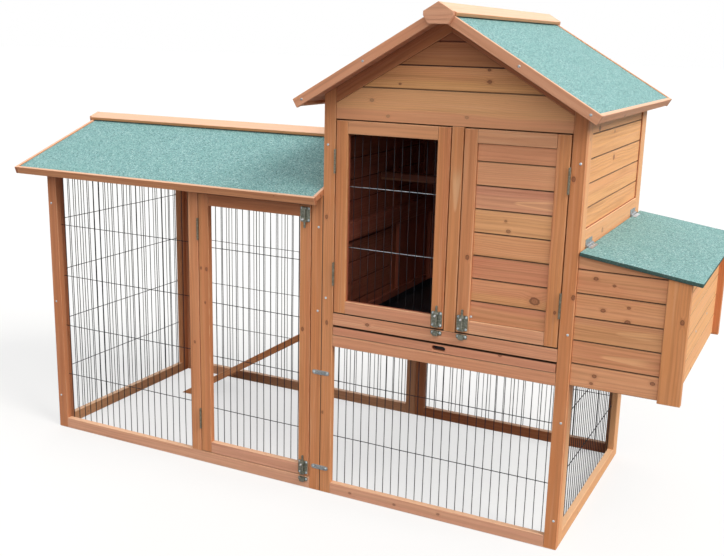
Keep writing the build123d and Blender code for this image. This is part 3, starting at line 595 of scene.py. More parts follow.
def solids(node):
    """Each solid of a node as its own bmesh, with its flat faces whole. They come from the top down, at one
    height from the back to the front, and at one depth from right to left."""
    whole = bmesh.new()
    whole.from_mesh(frame["nodes"][node].data)
    bmesh.ops.remove_doubles(whole, verts=whole.verts[:], dist=WELD)
    bmesh.ops.dissolve_limit(whole, angle_limit=FLAT_ANGLE, verts=whole.verts[:], edges=whole.edges[:])
    for face in whole.faces:
        face.tag = False
    found = [lifted(connected(face)) for face in whole.faces if not face.tag]
    whole.free()
    return sorted(found, key=lambda solid: tuple(round(c, 4) for c in middle_of(solid) * -1)[::-1])


def bevel(solid, edges, radius, steps):
    """Rounds some edges of a solid."""
    bmesh.ops.bevel(solid, geom=edges, offset=radius, offset_type="OFFSET", segments=steps,
                    profile=0.5, affect="EDGES", clamp_overlap=True)


def ease(solid, radius, steps=2):
    """Rounds the sharp edges of a solid."""
    bevel(solid, [edge for edge in solid.edges if edge.calc_face_angle(0.0) > SHARP_ANGLE], radius, steps)


def new_piece(name, points, faces, material, attributes=None, smooth=False):
    """A mesh object with a material and, for boards, a vector of each kind at each point."""
    mesh = bpy.data.meshes.new(name)
    mesh.from_pydata(points, [], faces)
    for key, vectors in (attributes or {}).items():
        layer = mesh.attributes.new(key, "FLOAT_VECTOR", "POINT")
        layer.data.foreach_set("vector", [c for vector in vectors for c in vector])
    mesh.polygons.foreach_set("use_smooth", [smooth] * len(mesh.polygons))
    mesh.materials.append(material)
    mesh.update()
    piece = bpy.data.objects.new(name, mesh)
    bpy.context.scene.collection.objects.link(piece)
    return piece


def dress(piece, node):
    """Puts a piece in the place of a node."""
    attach(piece, BODY_OF[node])
    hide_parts(node)


class Mesh:
    """Points and faces of a piece while it is put together."""

    def __init__(self):
        self.points = []
        self.faces = []

    def add(self, points, faces):
        first = len(self.points)
        self.points += points
        self.faces += [[first + index for index in face] for face in faces]

    def add_solid(self, solid):
        solid.verts.index_update()
        points = [vert.co.copy() for vert in solid.verts]
        self.add(points, [[vert.index for vert in face.verts] for face in solid.faces])
        solid.free()


# Boards and timbers

FAR_AWAY = (9.0, 9.0, 0.001)
NO_STREAK = (9.0, 0.0, 1.0)
UPRIGHT = 0.5
LEVEL_PINKNESS = 0.55
UPRIGHT_PINKNESS = 0.06
TONE_SPREAD = (0.11, 0.06, 0.07)

# What is drawn at random for a board: lengths across it are shares of its half width
BANDS = (0.0, 0.0, 0.3, -0.3)
BAND_REACH = 0.6
PITH_REACH = 1.2
PITH_DEPTHS = (0.01, 0.06)
ORIGIN_REACH = 40.0
WIDE_BOARD = 0.025
KNOTS_ON_WIDE = 1.7
KNOTS_ON_NARROW = 1.1
KNOT_REACH = (0.9, 0.75)
KNOT_RADII = (0.002, 0.0025, 0.003, 0.004, 0.006)
KNOT_ROOM = 0.02

# Warmth, pinkness and shade of boards that the photograph shows well, in the order of solids(), as far as it
# shows them. Some shades are painted shade or painted light, as noted at each node
SEEN_TONES = {
    # The top two boards are paler to offset the eave's shade: painted light
    "board_door_boards": (
        (0.20, 0.15, 0.74), (0.30, 0.20, 0.84), (0.15, 0.50, 0.42), (0.75, 0.14, 0.68),
        (0.55, 0.10, 0.56), (0.20, 0.15, 0.40), (0.38, 0.12, 0.44), (0.20, 0.20, 0.36),
    ),
    # The gable's top two boards are darker: painted shade under the roof; the header, last, is paler to
    # offset the eave's shade: painted light
    "house_front_boards": ((0.5, 0.0, -1.0), (0.70, 0.0, -0.45), (0.60, 0.0, 0.48), (0.6, 0.04, 1.0)),
    "house_right_boards": (
        (0.80, 0.0, 0.64), (0.95, 0.0, 0.70), (0.80, 0.0, 0.60),
        (0.90, 0.0, 0.70), (0.75, 0.0, 0.64), (0.75, 0.0, 0.64),
    ),
    "house_right_frame": ((1.0, 0.0, 0.95),) * 5,
    # The first two, the gable's rakes, are darker: painted shade under the barge boards
    "house_front_frame": (
        (0.3, 0.1, 0.0), (0.3, 0.1, 0.05), (0.6, 0.06, 0.58), (0.45, 0.04, 0.44), (0.55, 0.08, 0.62),
        (0.5, 0.55, 0.55), (0.5, 0.5, 0.5), (0.5, 0.9, 0.62),
    ),
    # All but the third are darker and redder: painted shade under the roof
    "house_back_frame": (
        (0.1, 0.2, 0.3), (0.1, 0.2, 0.3), (1.0, 0.0, 1.0), (0.0, 0.0, 0.1), (0.0, 0.0, 0.0), (0.0, 0.0, 0.0),
    ),
    "mesh_door_frame": ((0.75, 0.28, 0.68), (0.5, 0.06, 0.5), (0.35, 0.06, 0.38)),
    "board_door_frame": ((0.55, 0.35, 0.74), (0.4, 0.06, 0.42), (0.5, 0.15, 0.55)),
    # The first, the top rail, is darker: painted shadow of the eave
    "run_front_frame": (
        (0.4, 0.2, 0.05), (0.5, 0.2, 0.52), (0.5, 0.08, 0.46), (0.35, 0.16, 0.22), (0.5, 0.9, 0.7),
    ),
    # Redder, and the first and third darker: painted shade inside the run
    "run_left_frame": ((0.05, 0.1, 0.3), (0.2, 0.1, 0.5), (0.05, 0.1, 0.3), (0.6, 0.2, 1.0)),
    # The first, the top rail, is darker: painted shadow of the eave
    "run_door_frame": ((0.4, 0.15, 0.2), (0.6, 0.10, 0.5), (0.6, 0.10, 0.55), (0.5, 0.95, 0.56)),
}

# The same for all timbers of a node
NODE_TONES = {
    "house_roof_edging": (0.5, 0.4, 0.75),
    "ridge_end_caps": (0.5, 0.6, 0.85),
    "house_ridge_boards": (0.95, 0.05, 0.6),
    "run_ridge_boards": (0.95, 0.05, 0.6),
    "run_roof_edging": (0.6, 0.15, 0.5),
    "run_back_frame": (0.1, 0.4, 0.8),
    "nest_side_boards": (0.55, 0.22, 0.46),
    "nest_end_boards": (0.95, 0.0, 0.75),
    "nest_corner_boards": (0.6, 0.06, 0.52),
    "tray_front": (0.3, 0.35, 0.36),
}

# A redder band along the lower edge of the header board, which is the lowest of the front's boards
SEEN_BANDS = {("house_front_boards", 3): (0.014, -0.5)}

# Knots that the photograph shows on the front: distance from the house's left corner, height and radius
SEEN_KNOTS = {
    "house_front_boards": [
        (0.184, 1.084, 0.0035), (0.398, 1.092, 0.0035), (0.137, 1.122, 0.004),
        (0.450, 1.208, 0.003), (0.452, 1.180, 0.004), (0.215, 1.166, 0.0025),
    ],
    "board_door_boards": [(0.512, 0.845, 0.0025), (0.520, 0.820, 0.004), (0.598, 0.652, 0.009)],
    "board_door_frame": [(0.418, 0.743, 0.0045), (0.652, 0.632, 0.003)],
    "nest_side_boards": [
        (0.745, 0.729, 0.004), (0.790, 0.717, 0.003), (0.768, 0.653, 0.004), (0.828, 0.668, 0.003),
        (0.828, 0.632, 0.005), (0.760, 0.485, 0.004), (0.754, 0.465, 0.003), (0.899, 0.491, 0.004),
    ],
    "nest_corner_boards": [(0.953, 0.652, 0.0045)],
    "house_front_frame": [
        (0.674, 0.963, 0.0045), (0.695, 0.676, 0.0045), (0.016, 0.510, 0.004), (0.099, 0.016, 0.003),
        (0.238, 0.015, 0.003), (0.370, 0.019, 0.003), (0.141, 0.522, 0.004), (0.006, 0.244, 0.003),
        (0.011, 0.806, 0.004),
    ],
    "run_door_frame": [
        (-0.405, 0.612, 0.003), (-0.386, 0.611, 0.004), (-0.392, 0.509, 0.0025), (-0.061, 0.479, 0.004),
        (-0.397, 0.161, 0.003),
    ],
    "run_front_frame": [(-0.432, 0.381, 0.003)],
    "tray_front": [(0.519, 0.499, 0.003)],
}

# Pale streaks that the photograph shows: the tip's place as for knots, the length along the board,
# and how strong its inside and its outline are
SEEN_STREAKS = {
    "board_door_boards": [(0.526, 0.893, 0.14, 0.12, 0.5)],
    "house_front_frame": [(0.379, 0.850, 0.13, 0.4, 0.1)],
    "nest_side_boards": [(0.797, 0.602, 0.12, 0.3, 0.15), (0.765, 0.538, 0.15, 0.35, 0.15)],
}

# Nodes whose wood differs from the rest of their slot
OTHER_WOOD = {"ramp_board": "frame_wood", "nest_corner_boards": "frame_wood", "perch": "shaded_wood"}

# Boards whose grain doesn't run along their longest edge
GRAIN = {
    "ridge_end_caps": Vector((1, 0, 0)),
    "pop_door": Vector((0, 0, 1)),
}


# The tongues that close the gaps between boards
TONGUE_GAP = 0.004
TONGUE_END = 0.002
TONGUE_HALF = 0.0015
TONGUE_FACES = [(0, 1, 3, 2), (4, 6, 7, 5), (0, 4, 5, 1), (2, 3, 7, 6), (0, 2, 6, 4), (1, 5, 7, 3)]
# This look puts the whole tongue inside the painted shade of the boards' edges, so it is drawn dark
TONGUE_LOOK = {"grain": (0.0, 0.0, 0.0), "half": (1.0, 0.0, 1.0)}


def grain_axes(solid, node):
    """Unit vectors along a board, across its broad face and through its thickness."""
    longest = max(solid.edges, key=lambda edge: round(edge.calc_length(), 5))
    along = GRAIN.get(node) or (longest.verts[1].co - longest.verts[0].co).normalized()
    broad = max(solid.faces, key=lambda face: round(face.calc_area() * (1 - abs(face.normal.dot(along))), 7))
    if max(along, key=abs) < 0:
        along = -along
    through = (broad.normal - along * broad.normal.dot(along)).normalized()
    if max(through, key=abs) < 0:
        through = -through
    return along, through.cross(along), through


def on_board(across, height, centre, axes, half):
    """Where a place on the front lies on a board, in the board's directions, or nothing if it misses it."""
    offset = Vector((HOUSE_LEFT + across, FRONT, height)) - centre
    along, aside = [offset.dot(axis) for axis in axes[:2]]
    return (along, aside) if abs(along) < half[0] and abs(aside) < half[1] else None


def random_knots(rng, half):
    """A few small knots on a board that the photograph doesn't show closely."""
    expected = half[0] * (KNOTS_ON_WIDE if half[1] > WIDE_BOARD else KNOTS_ON_NARROW)
    knots = []
    for _ in KNOT_NAMES:
        place = [rng.uniform(-reach, reach) * size for reach, size in zip(KNOT_REACH, half)]
        radius = rng.choice(KNOT_RADII) * min(1.0, half[1] / KNOT_ROOM)
        if rng.random() < expected / len(KNOT_NAMES):
            knots.append((*place, radius))
    return knots


def board_look(rng, node, index, centre, axes, half):
    """The vectors that give one board its own wood."""
    pinkness = UPRIGHT_PINKNESS if abs(axes[0].z) > UPRIGHT else LEVEL_PINKNESS
    usual = NODE_TONES.get(node, (0.5, pinkness, 0.5))
    tone = [middle + rng.gauss(0.0, spread) for middle, spread in zip(usual, TONE_SPREAD)]
    band = rng.choice(BANDS)
    band_at = rng.uniform(-BAND_REACH, BAND_REACH) * half[1]
    pith = (rng.uniform(-PITH_REACH, PITH_REACH) * half[1], -half[2] - rng.uniform(*PITH_DEPTHS))
    origin = [rng.uniform(0.0, ORIGIN_REACH) for _ in range(3)]
    knots = random_knots(rng, half)
    on_front = centre.y < 0
    if node in SEEN_KNOTS and on_front:
        found = [(on_board(x, z, centre, axes, half), radius) for x, z, radius in SEEN_KNOTS[node]]
        knots = [(*spot, radius) for spot, radius in found if spot]
    if index < len(SEEN_TONES.get(node, ())):
        tone = SEEN_TONES[node][index]
    if (node, index) in SEEN_BANDS:
        band_at, band = SEEN_BANDS[node, index]
    streak = NO_STREAK
    strength = (0.0, 0.0)
    for x, z, length, *share in SEEN_STREAKS.get(node, ()):
        spot = on_board(x, z, centre, axes, half)
        if spot and on_front:
            streak = (*spot, length)
            strength = share
    knots += [FAR_AWAY] * len(KNOT_NAMES)
    return {
        "half": half, "origin": origin, "streak": streak, "tone": tone,
        "pith": (*pith, band_at), "band": (band, *strength), **dict(zip(KNOT_NAMES, knots)),
    }


def add_tongue(mesh, upper, lower):
    """Adds the dark tongue that closes the gap between two boards, one above the other, and says how many
    points it has."""
    low = Vector([max(a, b) for a, b in zip(upper[0], lower[0])])
    high = Vector([min(a, b) for a, b in zip(upper[1], lower[1])])
    gap = upper[0].z - lower[1].z
    if not 0 < gap < TONGUE_GAP or high.x < low.x or high.y < low.y:
        return 0
    flat = min(range(2), key=lambda axis: high[axis] - low[axis])
    middle = (low[flat] + high[flat]) / 2
    low[1 - flat] += TONGUE_END
    high[1 - flat] -= TONGUE_END
    low[flat] = middle - TONGUE_HALF
    high[flat] = middle + TONGUE_HALF
    low.z = lower[1].z - TONGUE_HALF
    high.z = upper[0].z + TONGUE_HALF
    corners = [Vector((x, y, z)) for x in (low.x, high.x) for y in (low.y, high.y) for z in (low.z, high.z)]
    mesh.add(corners, TONGUE_FACES)
    return len(corners)


def dress_boards(node):
    """Builds a node's boards with eased edges, each with its own grain, tone and knots."""
    rng = random.Random(node)
    mesh = Mesh()
    vectors = {}
    higher = []
    for index, solid in enumerate(solids(node)):
        axes = grain_axes(solid, node)
        reach = [[vert.co.dot(axis) for vert in solid.verts] for axis in axes]
        half = [(max(r) - min(r)) / 2 for r in reach]
        centre = sum(((max(r) + min(r)) / 2 * axis for r, axis in zip(reach, axes)), Vector())
        look = board_look(rng, node, index, centre, axes, half)
        box = box_of(solid)
        if SLOT_OF[node] == "board_wood":
            count = sum(add_tongue(mesh, other, box) for other in higher)
            for key, vector in {**look, **TONGUE_LOOK}.items():
                vectors.setdefault(key, []).extend([vector] * count)
        higher.append(box)
        ease(solid, TIMBER_EASE)
        look_points = [[(vert.co - centre).dot(axis) for axis in axes] for vert in solid.verts]
        vectors.setdefault("grain", []).extend(look_points)
        for key, vector in look.items():
            vectors.setdefault(key, []).extend([vector] * len(look_points))
        mesh.add_solid(solid)
    material = MATERIALS[OTHER_WOOD.get(node, SLOT_OF[node])]
    dress(new_piece(f"{node}_timber", mesh.points, mesh.faces, material, vectors), node)


# Roofing felt

FELT_GRID = 0.035
FELT_EASE = 0.0018
FELT_STEPS = 3
FELT_WAVES = 0.0006
FELT_RIPPLES = ((31, 17), (-23, 43))


def slice_solid(solid, direction, spacing):
    """Cuts a solid's faces across a direction at even steps, so that it can bend."""
    reach = [vert.co.dot(direction) for vert in solid.verts]
    count = int((max(reach) - min(reach)) / spacing)
    for number in range(1, count):
        at = min(reach) + (max(reach) - min(reach)) * number / count
        geometry = solid.verts[:] + solid.edges[:] + solid.faces[:]
        bmesh.ops.bisect_plane(solid, geom=geometry, plane_co=direction * at, plane_no=direction)


def dress_felt(node):
    """Builds sheets of felt with soft edges and slight waves, which only lower them."""
    mesh = Mesh()
    for solid in solids(node):
        along, across, through = grain_axes(solid, node)
        ease(solid, FELT_EASE, FELT_STEPS)
        slice_solid(solid, along, FELT_GRID)
        slice_solid(solid, across, FELT_GRID)
        for vert in solid.verts:
            wave = sum(math.sin(vert.co.x * a + vert.co.y * b) for a, b in FELT_RIPPLES)
            vert.co.z += FELT_WAVES * (wave / 4 - 0.5) * max(0.0, vert.normal.z)
        mesh.add_solid(solid)
    dress(new_piece(f"{node}_sheets", mesh.points, mesh.faces, MATERIALS["felt"], smooth=True), node)


# Welded nets

WIRE_RADIUS = 0.00115
FINE_WIRE = 0.0008
WIRE_SIDES = 6
WIRE_GAP = 0.003
WIRE_STEP = 0.11
WIRE_BOW = 0.0005
RUNG_LIFT = WIRE_RADIUS * 1.9
STAPLE_RADIUS = 0.0006
STAPLE_SIDES = 5
STAPLE_CROWN = 0.008
STAPLE_LEG = 0.004
STAPLE_EVERY = 4
STAPLE_INSET = WIRE_RADIUS * 3


def add_tube(mesh, route, radius, sides):
    """Adds a closed round tube along a route of points."""
    tangents = [(b - a).normalized() for a, b in zip(route, route[1:])]
    points = []
    for index, centre in enumerate(route):
        before = tangents[max(index - 1, 0)]
        after = tangents[min(index, len(tangents) - 1)]
        tangent = (before + after).normalized()
        side = tangent.orthogonal().normalized() if index == 0 else side - tangent * side.dot(tangent)
        side.normalize()
        other = tangent.cross(side)
        for corner in range(sides):
            angle = 2 * math.pi * corner / sides
            points.append(centre + (side * math.cos(angle) + other * math.sin(angle)) * radius)
    faces = [list(range(sides))[::-1], [len(points) - sides + corner for corner in range(sides)]]
    for ring in range(len(route) - 1):
        for corner in range(sides):
            a = ring * sides + corner
            b = ring * sides + (corner + 1) % sides
            faces.append([a, b, b + sides, a + sides])
    mesh.add(points, faces)


def wire_lines(solid, axis):
    """Middles of the wires that cross an axis, read from the edges of the net's gaps."""
    edges = sorted({round(vert.co[axis], 5) for vert in solid.verts})
    return [(a + b) / 2 for a, b in zip(edges, edges[1:]) if b - a < WIRE_GAP]


def straight_wire(rng, start, end, flat):
    """Points along a wire that bows a little within the net's plane."""
    count = max(2, round((end - start).length / WIRE_STEP))
    sideways = (end - start).normalized().cross(flat)
    route = [start.lerp(end, number / count) for number in range(count + 1)]
    return [point + sideways * rng.uniform(-WIRE_BOW, WIRE_BOW) for point in route]


def add_staple(mesh, at, crown, away):
    """Adds a staple over a wire, with its crown along one direction and its legs in the wood."""
    half = crown * STAPLE_CROWN / 2
    top = away * (2 * WIRE_RADIUS + STAPLE_RADIUS)
    leg = away * -STAPLE_LEG
    route = [at - half + leg, at - half + top, at + half + top, at + half + leg]
    add_tube(mesh, route, STAPLE_RADIUS, STAPLE_SIDES)


def away_from_wood(plane, flat):
    """The direction from a net's frame to the net: inward behind a frame, outward on a frame's outer face."""
    walls = ((RUN_LEFT, HOUSE_RIGHT), (FRONT, BACK))[flat]
    outside = plane < walls[0] or plane > walls[1]
    low_side = plane < HOUSE_MIDDLE if flat == 0 else plane < 0
    return Vector((flat == 0, flat == 1, 0)) * (1 if low_side != outside else -1)


def dress_net(node):
    """Builds nets of round upright wires with level wires welded to them, and the staples that hold them."""
    rng = random.Random(node)
    wires = Mesh()
    rungs = Mesh()
    staples = Mesh()
    up = Vector((0, 0, 1))
    upright_radius = FINE_WIRE if node == "mesh_door_net" else WIRE_RADIUS
    for solid in solids(node):
        low, high = box_of(solid)
        flat = min(range(2), key=lambda axis: high[axis] - low[axis])
        level = Vector((flat == 1, flat == 0, 0))
        plane = (low[flat] + high[flat]) / 2
        away = away_from_wood(plane, flat)
        base = Vector((flat == 0, flat == 1, 0)) * plane
        uprights = wire_lines(solid, 1 - flat)
        levels = wire_lines(solid, 2)
        for place in uprights:
            ends = [base + level * place + up * z for z in (low.z, high.z)]
            add_tube(wires, straight_wire(rng, *ends, away), upright_radius, WIRE_SIDES)
        over = base + away * RUNG_LIFT
        for z in levels:
            ends = [over + level * place + up * z for place in (low[1 - flat], high[1 - flat])]
            add_tube(rungs, straight_wire(rng, *ends, away), WIRE_RADIUS, WIRE_SIDES)
        for place in uprights[1:-1:STAPLE_EVERY]:
            for z in (low.z + STAPLE_INSET, high.z - STAPLE_INSET):
                add_staple(staples, base + level * place + up * z, level, away)
        for z in levels[1:-1]:
            for place in (low[1 - flat] + STAPLE_INSET, high[1 - flat] - STAPLE_INSET):
                add_staple(staples, over + level * place + up * z, up, away)
        solid.free()
    dress(new_piece(f"{node}_uprights", wires.points, wires.faces, MATERIALS["net_wire"], smooth=True), node)
    # Painted reflection: the mesh door's level wires take the paler wire, as if the sky lit their tops
    rung_wire = MATERIALS["sky_lit_wire" if node == "mesh_door_net" else "net_wire"]
    dress(new_piece(f"{node}_rungs", rungs.points, rungs.faces, rung_wire, smooth=True), node)
    holders = new_piece(f"{node}_staples", staples.points, staples.faces, MATERIALS["bright_zinc"])
    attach(holders, BODY_OF[node])


# Zinc fittings

BOLTS = ("mesh_door_bolt", "board_door_bolt", "run_top_bolt", "run_bottom_bolt")
BOLT_PLATES = ("run_bolt_plates", "mesh_bolt_plate", "board_bolt_plate")
PLATES = (*BOLT_PLATES, "bolt_keepers")

# Fittings with another finish than the hinges; on the lid's leaves the bright zinc is painted sunlight
FINISHES = {
    **dict.fromkeys(BOLTS + PLATES, "dark_zinc"),
    "tie_straps": "bright_zinc",
    "lid_leaves": "bright_zinc",
}
LID_HINGE_REACH = 0.006
CORNER_NEAR = 1e-4
CORNER_STEPS = 4


def round_corners(solid, radius):
    """Rounds the four outer corners of a flat fitting, seen square on."""
    low, high = box_of(solid)
    flat = min(range(3), key=lambda axis: high[axis] - low[axis])
    sides = [axis for axis in range(3) if axis != flat]
    corners = []
    for edge in solid.edges:
        a, b = [vert.co for vert in edge.verts]
        at_corner = all(min(abs(a[s] - low[s]), abs(a[s] - high[s])) < CORNER_NEAR for s in sides)
        through = all(abs(a[s] - b[s]) < CORNER_NEAR for s in sides)
        if at_corner and through:
            corners.append(edge)
    bevel(solid, corners, radius, CORNER_STEPS)


def dress_metal(node, corner=0.0):
    """Builds metal parts with eased edges and, on plates, round corners."""
    meshes = {}
    for solid in solids(node):
        # Painted sunlight: the hinge leaves at the lid get bright zinc, like the lid's own leaves
        lit_on_lid = SLOT_OF[node] == "zinc" and middle_of(solid).x > HOUSE_RIGHT - LID_HINGE_REACH
        finish = FINISHES.get(node, "bright_zinc" if lit_on_lid else SLOT_OF[node])
        if corner:
            round_corners(solid, corner)
        ease(solid, METAL_EASE)
        meshes.setdefault(finish, Mesh()).add_solid(solid)
    for finish, mesh in meshes.items():
        dress(new_piece(f"{node}_{finish}", mesh.points, mesh.faces, MATERIALS[finish]), node)


# Screws with cross recesses, gathered for each body

SCREW_RADIUS = 0.0034
SCREW_RISE = 0.0011
CROSS_REACH = 0.0021
CROSS_WIDTH = 0.0005
CROSS_DEPTH = 0.0009
SCREW_SIDES = 12
SCREW_TURNS = (370, 530, 710)
SMALL_SCREW = 0.7
PLATE_SCREW = 0.95

# Where screws are on plates, keepers, straps, barge boards, the nest's end, the run and the lid's leaves
PLATE_THICKNESS = 0.0015
PLATE_INSET = 0.0048
STRAP_INSET = 0.0065
KEEPER_INSET = 0.0052
BARGE_DEPTH = 0.025
BARGE_SCREWS = (0.2, 0.373)
NEST_SCREW_PLACES = (0.106, 0.300, 0.500)
NEST_SCREW_LEVELS = (0.679, 0.553)
RUN_SCREW_INSET = 0.0125
RUN_SCREW_LEVELS = (0.775, 0.539)
LEAF_SCREW_SPACING = 0.020
DOOR_NAIL = (0.434, 0.588)
screws = {}


def add_screw(body, at, out, size=1.0, finish="new_zinc"):
    """Adds a screw head that stands on a surface at a point, faces out and is turned by its own angle."""
    mesh = screws.setdefault((body, finish), Mesh())
    out = Vector(out).normalized()
    at = Vector(at)
    turn = Quaternion(out, sum(c * turns for c, turns in zip(at, SCREW_TURNS)))
    side = turn @ out.orthogonal().normalized()
    other = out.cross(side)

    def ring(radius, rise):
        angles = [2 * math.pi * (number - 0.5) / SCREW_SIDES for number in range(SCREW_SIDES)]
        return [(radius * math.cos(a), radius * math.sin(a), rise) for a in angles]

    def cross(reach, width, rise):
        arm = [(reach, -width), (reach, width), (width, width)]
        outline = []
        for _ in range(4):
            outline += arm
            arm = [(-y, x) for x, y in arm]
        return [(x, y, rise) for x, y in outline]

    rows = [
        ring(SCREW_RADIUS, -SCREW_RISE),
        ring(SCREW_RADIUS, SCREW_RISE * 0.2),
        ring(SCREW_RADIUS * 0.8, SCREW_RISE * 0.8),
        cross(CROSS_REACH, CROSS_WIDTH, SCREW_RISE),
        cross(CROSS_REACH * 0.7, CROSS_WIDTH, SCREW_RISE - CROSS_DEPTH),
    ]
    points = [at + (side * x + other * y + out * z) * size for row in rows for x, y, z in row]
    numbers = list(range(len(points)))
    faces = [numbers[:SCREW_SIDES][::-1], numbers[-SCREW_SIDES:]]
    for row in range(len(rows) - 1):
        for number in range(SCREW_SIDES):
            a = SCREW_SIDES * row + number
            b = SCREW_SIDES * row + (number + 1) % SCREW_SIDES
            faces.append([a, b, b + SCREW_SIDES, a + SCREW_SIDES])
    mesh.add(points, faces)


def panel_screws():
    """The screws that hold the wall panels together, front and back."""
    for solid in solids("panel_screws"):
        low, high = box_of(solid)
        middle = (low + high) / 2
        face, out = (low.y, -1) if middle.y < 0 else (high.y, 1)
        add_screw("coop", (middle.x, face - out * SCREW_RISE, middle.z), (0, out, 0))


def flat_screws(node, inset, rows):
    """Screws near the ends of each flat fitting of a node: one at each end, or one at each corner."""
    for solid in solids(node):
        low, high = box_of(solid)
        heights = [(low.z + high.z) / 2] if rows == 1 else [low.z + inset, high.z - inset]
        for x in (low.x + inset, high.x - inset):
            for z in heights:
                add_screw(BODY_OF[node], (x, high.y - PLATE_THICKNESS, z), (0, -1, 0), PLATE_SCREW)


def trim_screws():
    """Screws in the barge boards, the nest's end boards and the run's last stile, and a door board's nail."""
    roof_low, roof_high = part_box("house_roof_edging")
    peak = roof_high.z - BARGE_DEPTH / 2 / math.cos(ROOF_PITCH)
    for reach in BARGE_SCREWS:
        for side in (-1, 1):
            for y, out in ((roof_low.y, -1), (roof_high.y, 1)):
                place = (HOUSE_MIDDLE + side * reach, y, peak - reach * math.tan(ROOF_PITCH))
                add_screw("coop", place, (0, out, 0), finish="bright_zinc")
    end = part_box("nest_end_boards")[1].x
    for y in NEST_SCREW_PLACES:
        for z in NEST_SCREW_LEVELS:
            add_screw("coop", (end, FRONT + y, z), (1, 0, 0))
    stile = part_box("run_front_frame")[1].x - RUN_SCREW_INSET
    for z in RUN_SCREW_LEVELS:
        add_screw("coop", (stile, FRONT, z), (0, -1, 0))
    nail = (HOUSE_LEFT + DOOR_NAIL[0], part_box("board_door_boards")[0].y, DOOR_NAIL[1])
    add_screw("board_door", nail, (0, -1, 0))


def leaf_screws():
    """Three screws in each hinge leaf that lies on the nest's lid."""
    for solid in solids("lid_leaves"):
        top = max(solid.faces, key=lambda face: face.calc_area() * face.normal.z)
        for number in (-1, 0, 1):
            place = top.calc_center_median() + Vector((0, number * LEAF_SCREW_SPACING, 0))
            add_screw(BODY_OF["lid_leaves"], place, top.normal, SMALL_SCREW)


def dress_screws():
    """Makes one piece of the screws of each finish on each body."""
    panel_screws()
    flat_screws("tie_straps", STRAP_INSET, 1)
    for node in BOLT_PLATES:
        flat_screws(node, PLATE_INSET, 2)
    flat_screws("bolt_keepers", KEEPER_INSET, 1)
    trim_screws()
    leaf_screws()
    for (body, finish), mesh in screws.items():
        piece = new_piece(f"{body}_screws_{finish}", mesh.points, mesh.faces, MATERIALS[finish])
        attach(piece, body)
        if body == "coop" and finish == "new_zinc":
            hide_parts("panel_screws")


# Floor, light and camera

FLOOR_REACH = 60.0
FLOOR_DROP = 0.0005
FLOOR_SPOTS = (1.3, 4.0)
FLOOR_GREYS = ((0.25, 0.25, 0.25, 1), (0.27, 0.27, 0.27, 1))
FLOOR_RELIEF = 0.0005
FLOOR_LIFT = 0.66
WHITE = (1, 1, 1, 1)
LAMP_COLOUR = (1.0, 0.96, 0.9)
SKY_COLOUR = (0.95, 0.98, 1.0, 1)
SKY_LOW = 0.15
SKY_HIGH = 0.6
SKY_RISE = 0.8

# Strength, softness in degrees and the side that each lamp shines from
LAMPS = {
    "key": (3.2, 32, (0.76, -0.12, 0.64)),
    "fill": (1.25, 55, (0.20, -0.75, 0.63)),
    "back": (0.9, 60, (-0.50, 0.75, 0.43)),
}


def floor():
    """A pale floor that keeps the coop's shadow."""
    signs = ((-1, -1), (1, -1), (1, 1), (-1, 1))
    corners = [(x * FLOOR_REACH, y * FLOOR_REACH, -FLOOR_DROP) for x, y in signs]
    s = Shader("floor")
    tone = s.noise(s.place(), *FLOOR_SPOTS)
    colour = s.mix(tone, *FLOOR_GREYS)
    material = s.finish(colour, tone * 0.1 + 0.85, tone, FLOOR_RELIEF, Specular_IOR_Level=0.0)
    seen = Number(s, s.node("ShaderNodeLightPath", {}).outputs["Is Camera Ray"])
    glow = s.node("ShaderNodeEmission", {"Color": WHITE, "Strength": seen * FLOOR_LIFT})
    both = s.node("ShaderNodeAddShader", {0: s.surface.outputs[0], 1: glow.outputs[0]})
    s.put(s.tree.nodes["Material Output"].inputs["Surface"], both.outputs[0])
    new_piece("floor", corners, [(0, 1, 2, 3)], material)


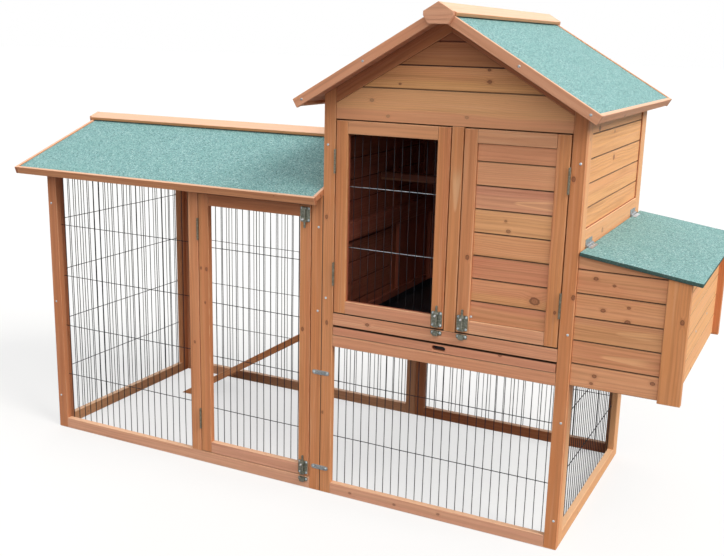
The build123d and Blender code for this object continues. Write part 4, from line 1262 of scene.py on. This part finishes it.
def light():
    """A high key from the right, broad fills from the front and back, and a sky that is brighter overhead and
    looks plain white itself."""
    for name, (strength, softness, side) in LAMPS.items():
        data = bpy.data.lights.new(name, "SUN")
        data.energy = strength
        data.angle = math.radians(softness)
        data.color = LAMP_COLOUR
        lamp = bpy.data.objects.new(name, data)
        lamp.rotation_mode = "QUATERNION"
        lamp.rotation_quaternion = Vector(side).to_track_quat("Z", "Y")
        bpy.context.scene.collection.objects.link(lamp)

    world = bpy.data.worlds.new("sky")
    world.use_nodes = True
    sky = Nodes(world.node_tree)
    upward = sky.parts(sky.node("ShaderNodeTexCoord", {}).outputs["Generated"])[2]
    inputs = {"Value": upward, "From Max": SKY_RISE, "To Min": SKY_LOW, "To Max": SKY_HIGH}
    rise = sky.node("ShaderNodeMapRange", inputs, interpolation_type="SMOOTHSTEP")
    dome = sky.tree.nodes["Background"]
    sky.put(dome.inputs["Color"], SKY_COLOUR)
    sky.put(dome.inputs["Strength"], rise.outputs[0])
    white = sky.node("ShaderNodeBackground", {"Color": WHITE})
    path = sky.node("ShaderNodeLightPath", {}).outputs
    plain = Number(sky, path["Is Camera Ray"])
    for name in ("Is Glossy Ray", "Is Transmission Ray"):
        plain = plain.math("MAXIMUM", path[name])
    both = sky.node("ShaderNodeMixShader", {0: plain, 1: dome.outputs[0], 2: white.outputs[0]})
    sky.put(sky.tree.nodes["World Output"].inputs["Surface"], both.outputs[0])
    bpy.context.scene.world = world


EYE = Vector((1.300485, -2.640510, 1.272819))
AIM = Vector((0.004249, -0.030503, 0.560336))
ROLL = math.radians(1.36043)
SENSOR = 36.0
LENS = 48.527


def camera():
    """The photograph's viewpoint."""
    data = bpy.data.cameras.new("camera")
    data.sensor_width = SENSOR
    data.lens = LENS
    viewer = bpy.data.objects.new("camera", data)
    viewer.location = EYE
    viewer.rotation_mode = "QUATERNION"
    viewer.rotation_quaternion = (AIM - EYE).to_track_quat("-Z", "Y") @ Quaternion((0, 0, 1), ROLL)
    bpy.context.scene.collection.objects.link(viewer)
    bpy.context.scene.camera = viewer


for node, slot in SLOT_OF.items():
    if slot.endswith("_wood"):
        dress_boards(node)
    elif slot == "felt":
        dress_felt(node)
    elif slot == "net_wire":
        dress_net(node)
    elif node != "panel_screws":
        dress_metal(node, PLATE_CORNER if node in PLATES else 0.0)
dress_screws()
floor()
light()
camera()
bpy.context.scene.view_settings.view_transform = "Standard"
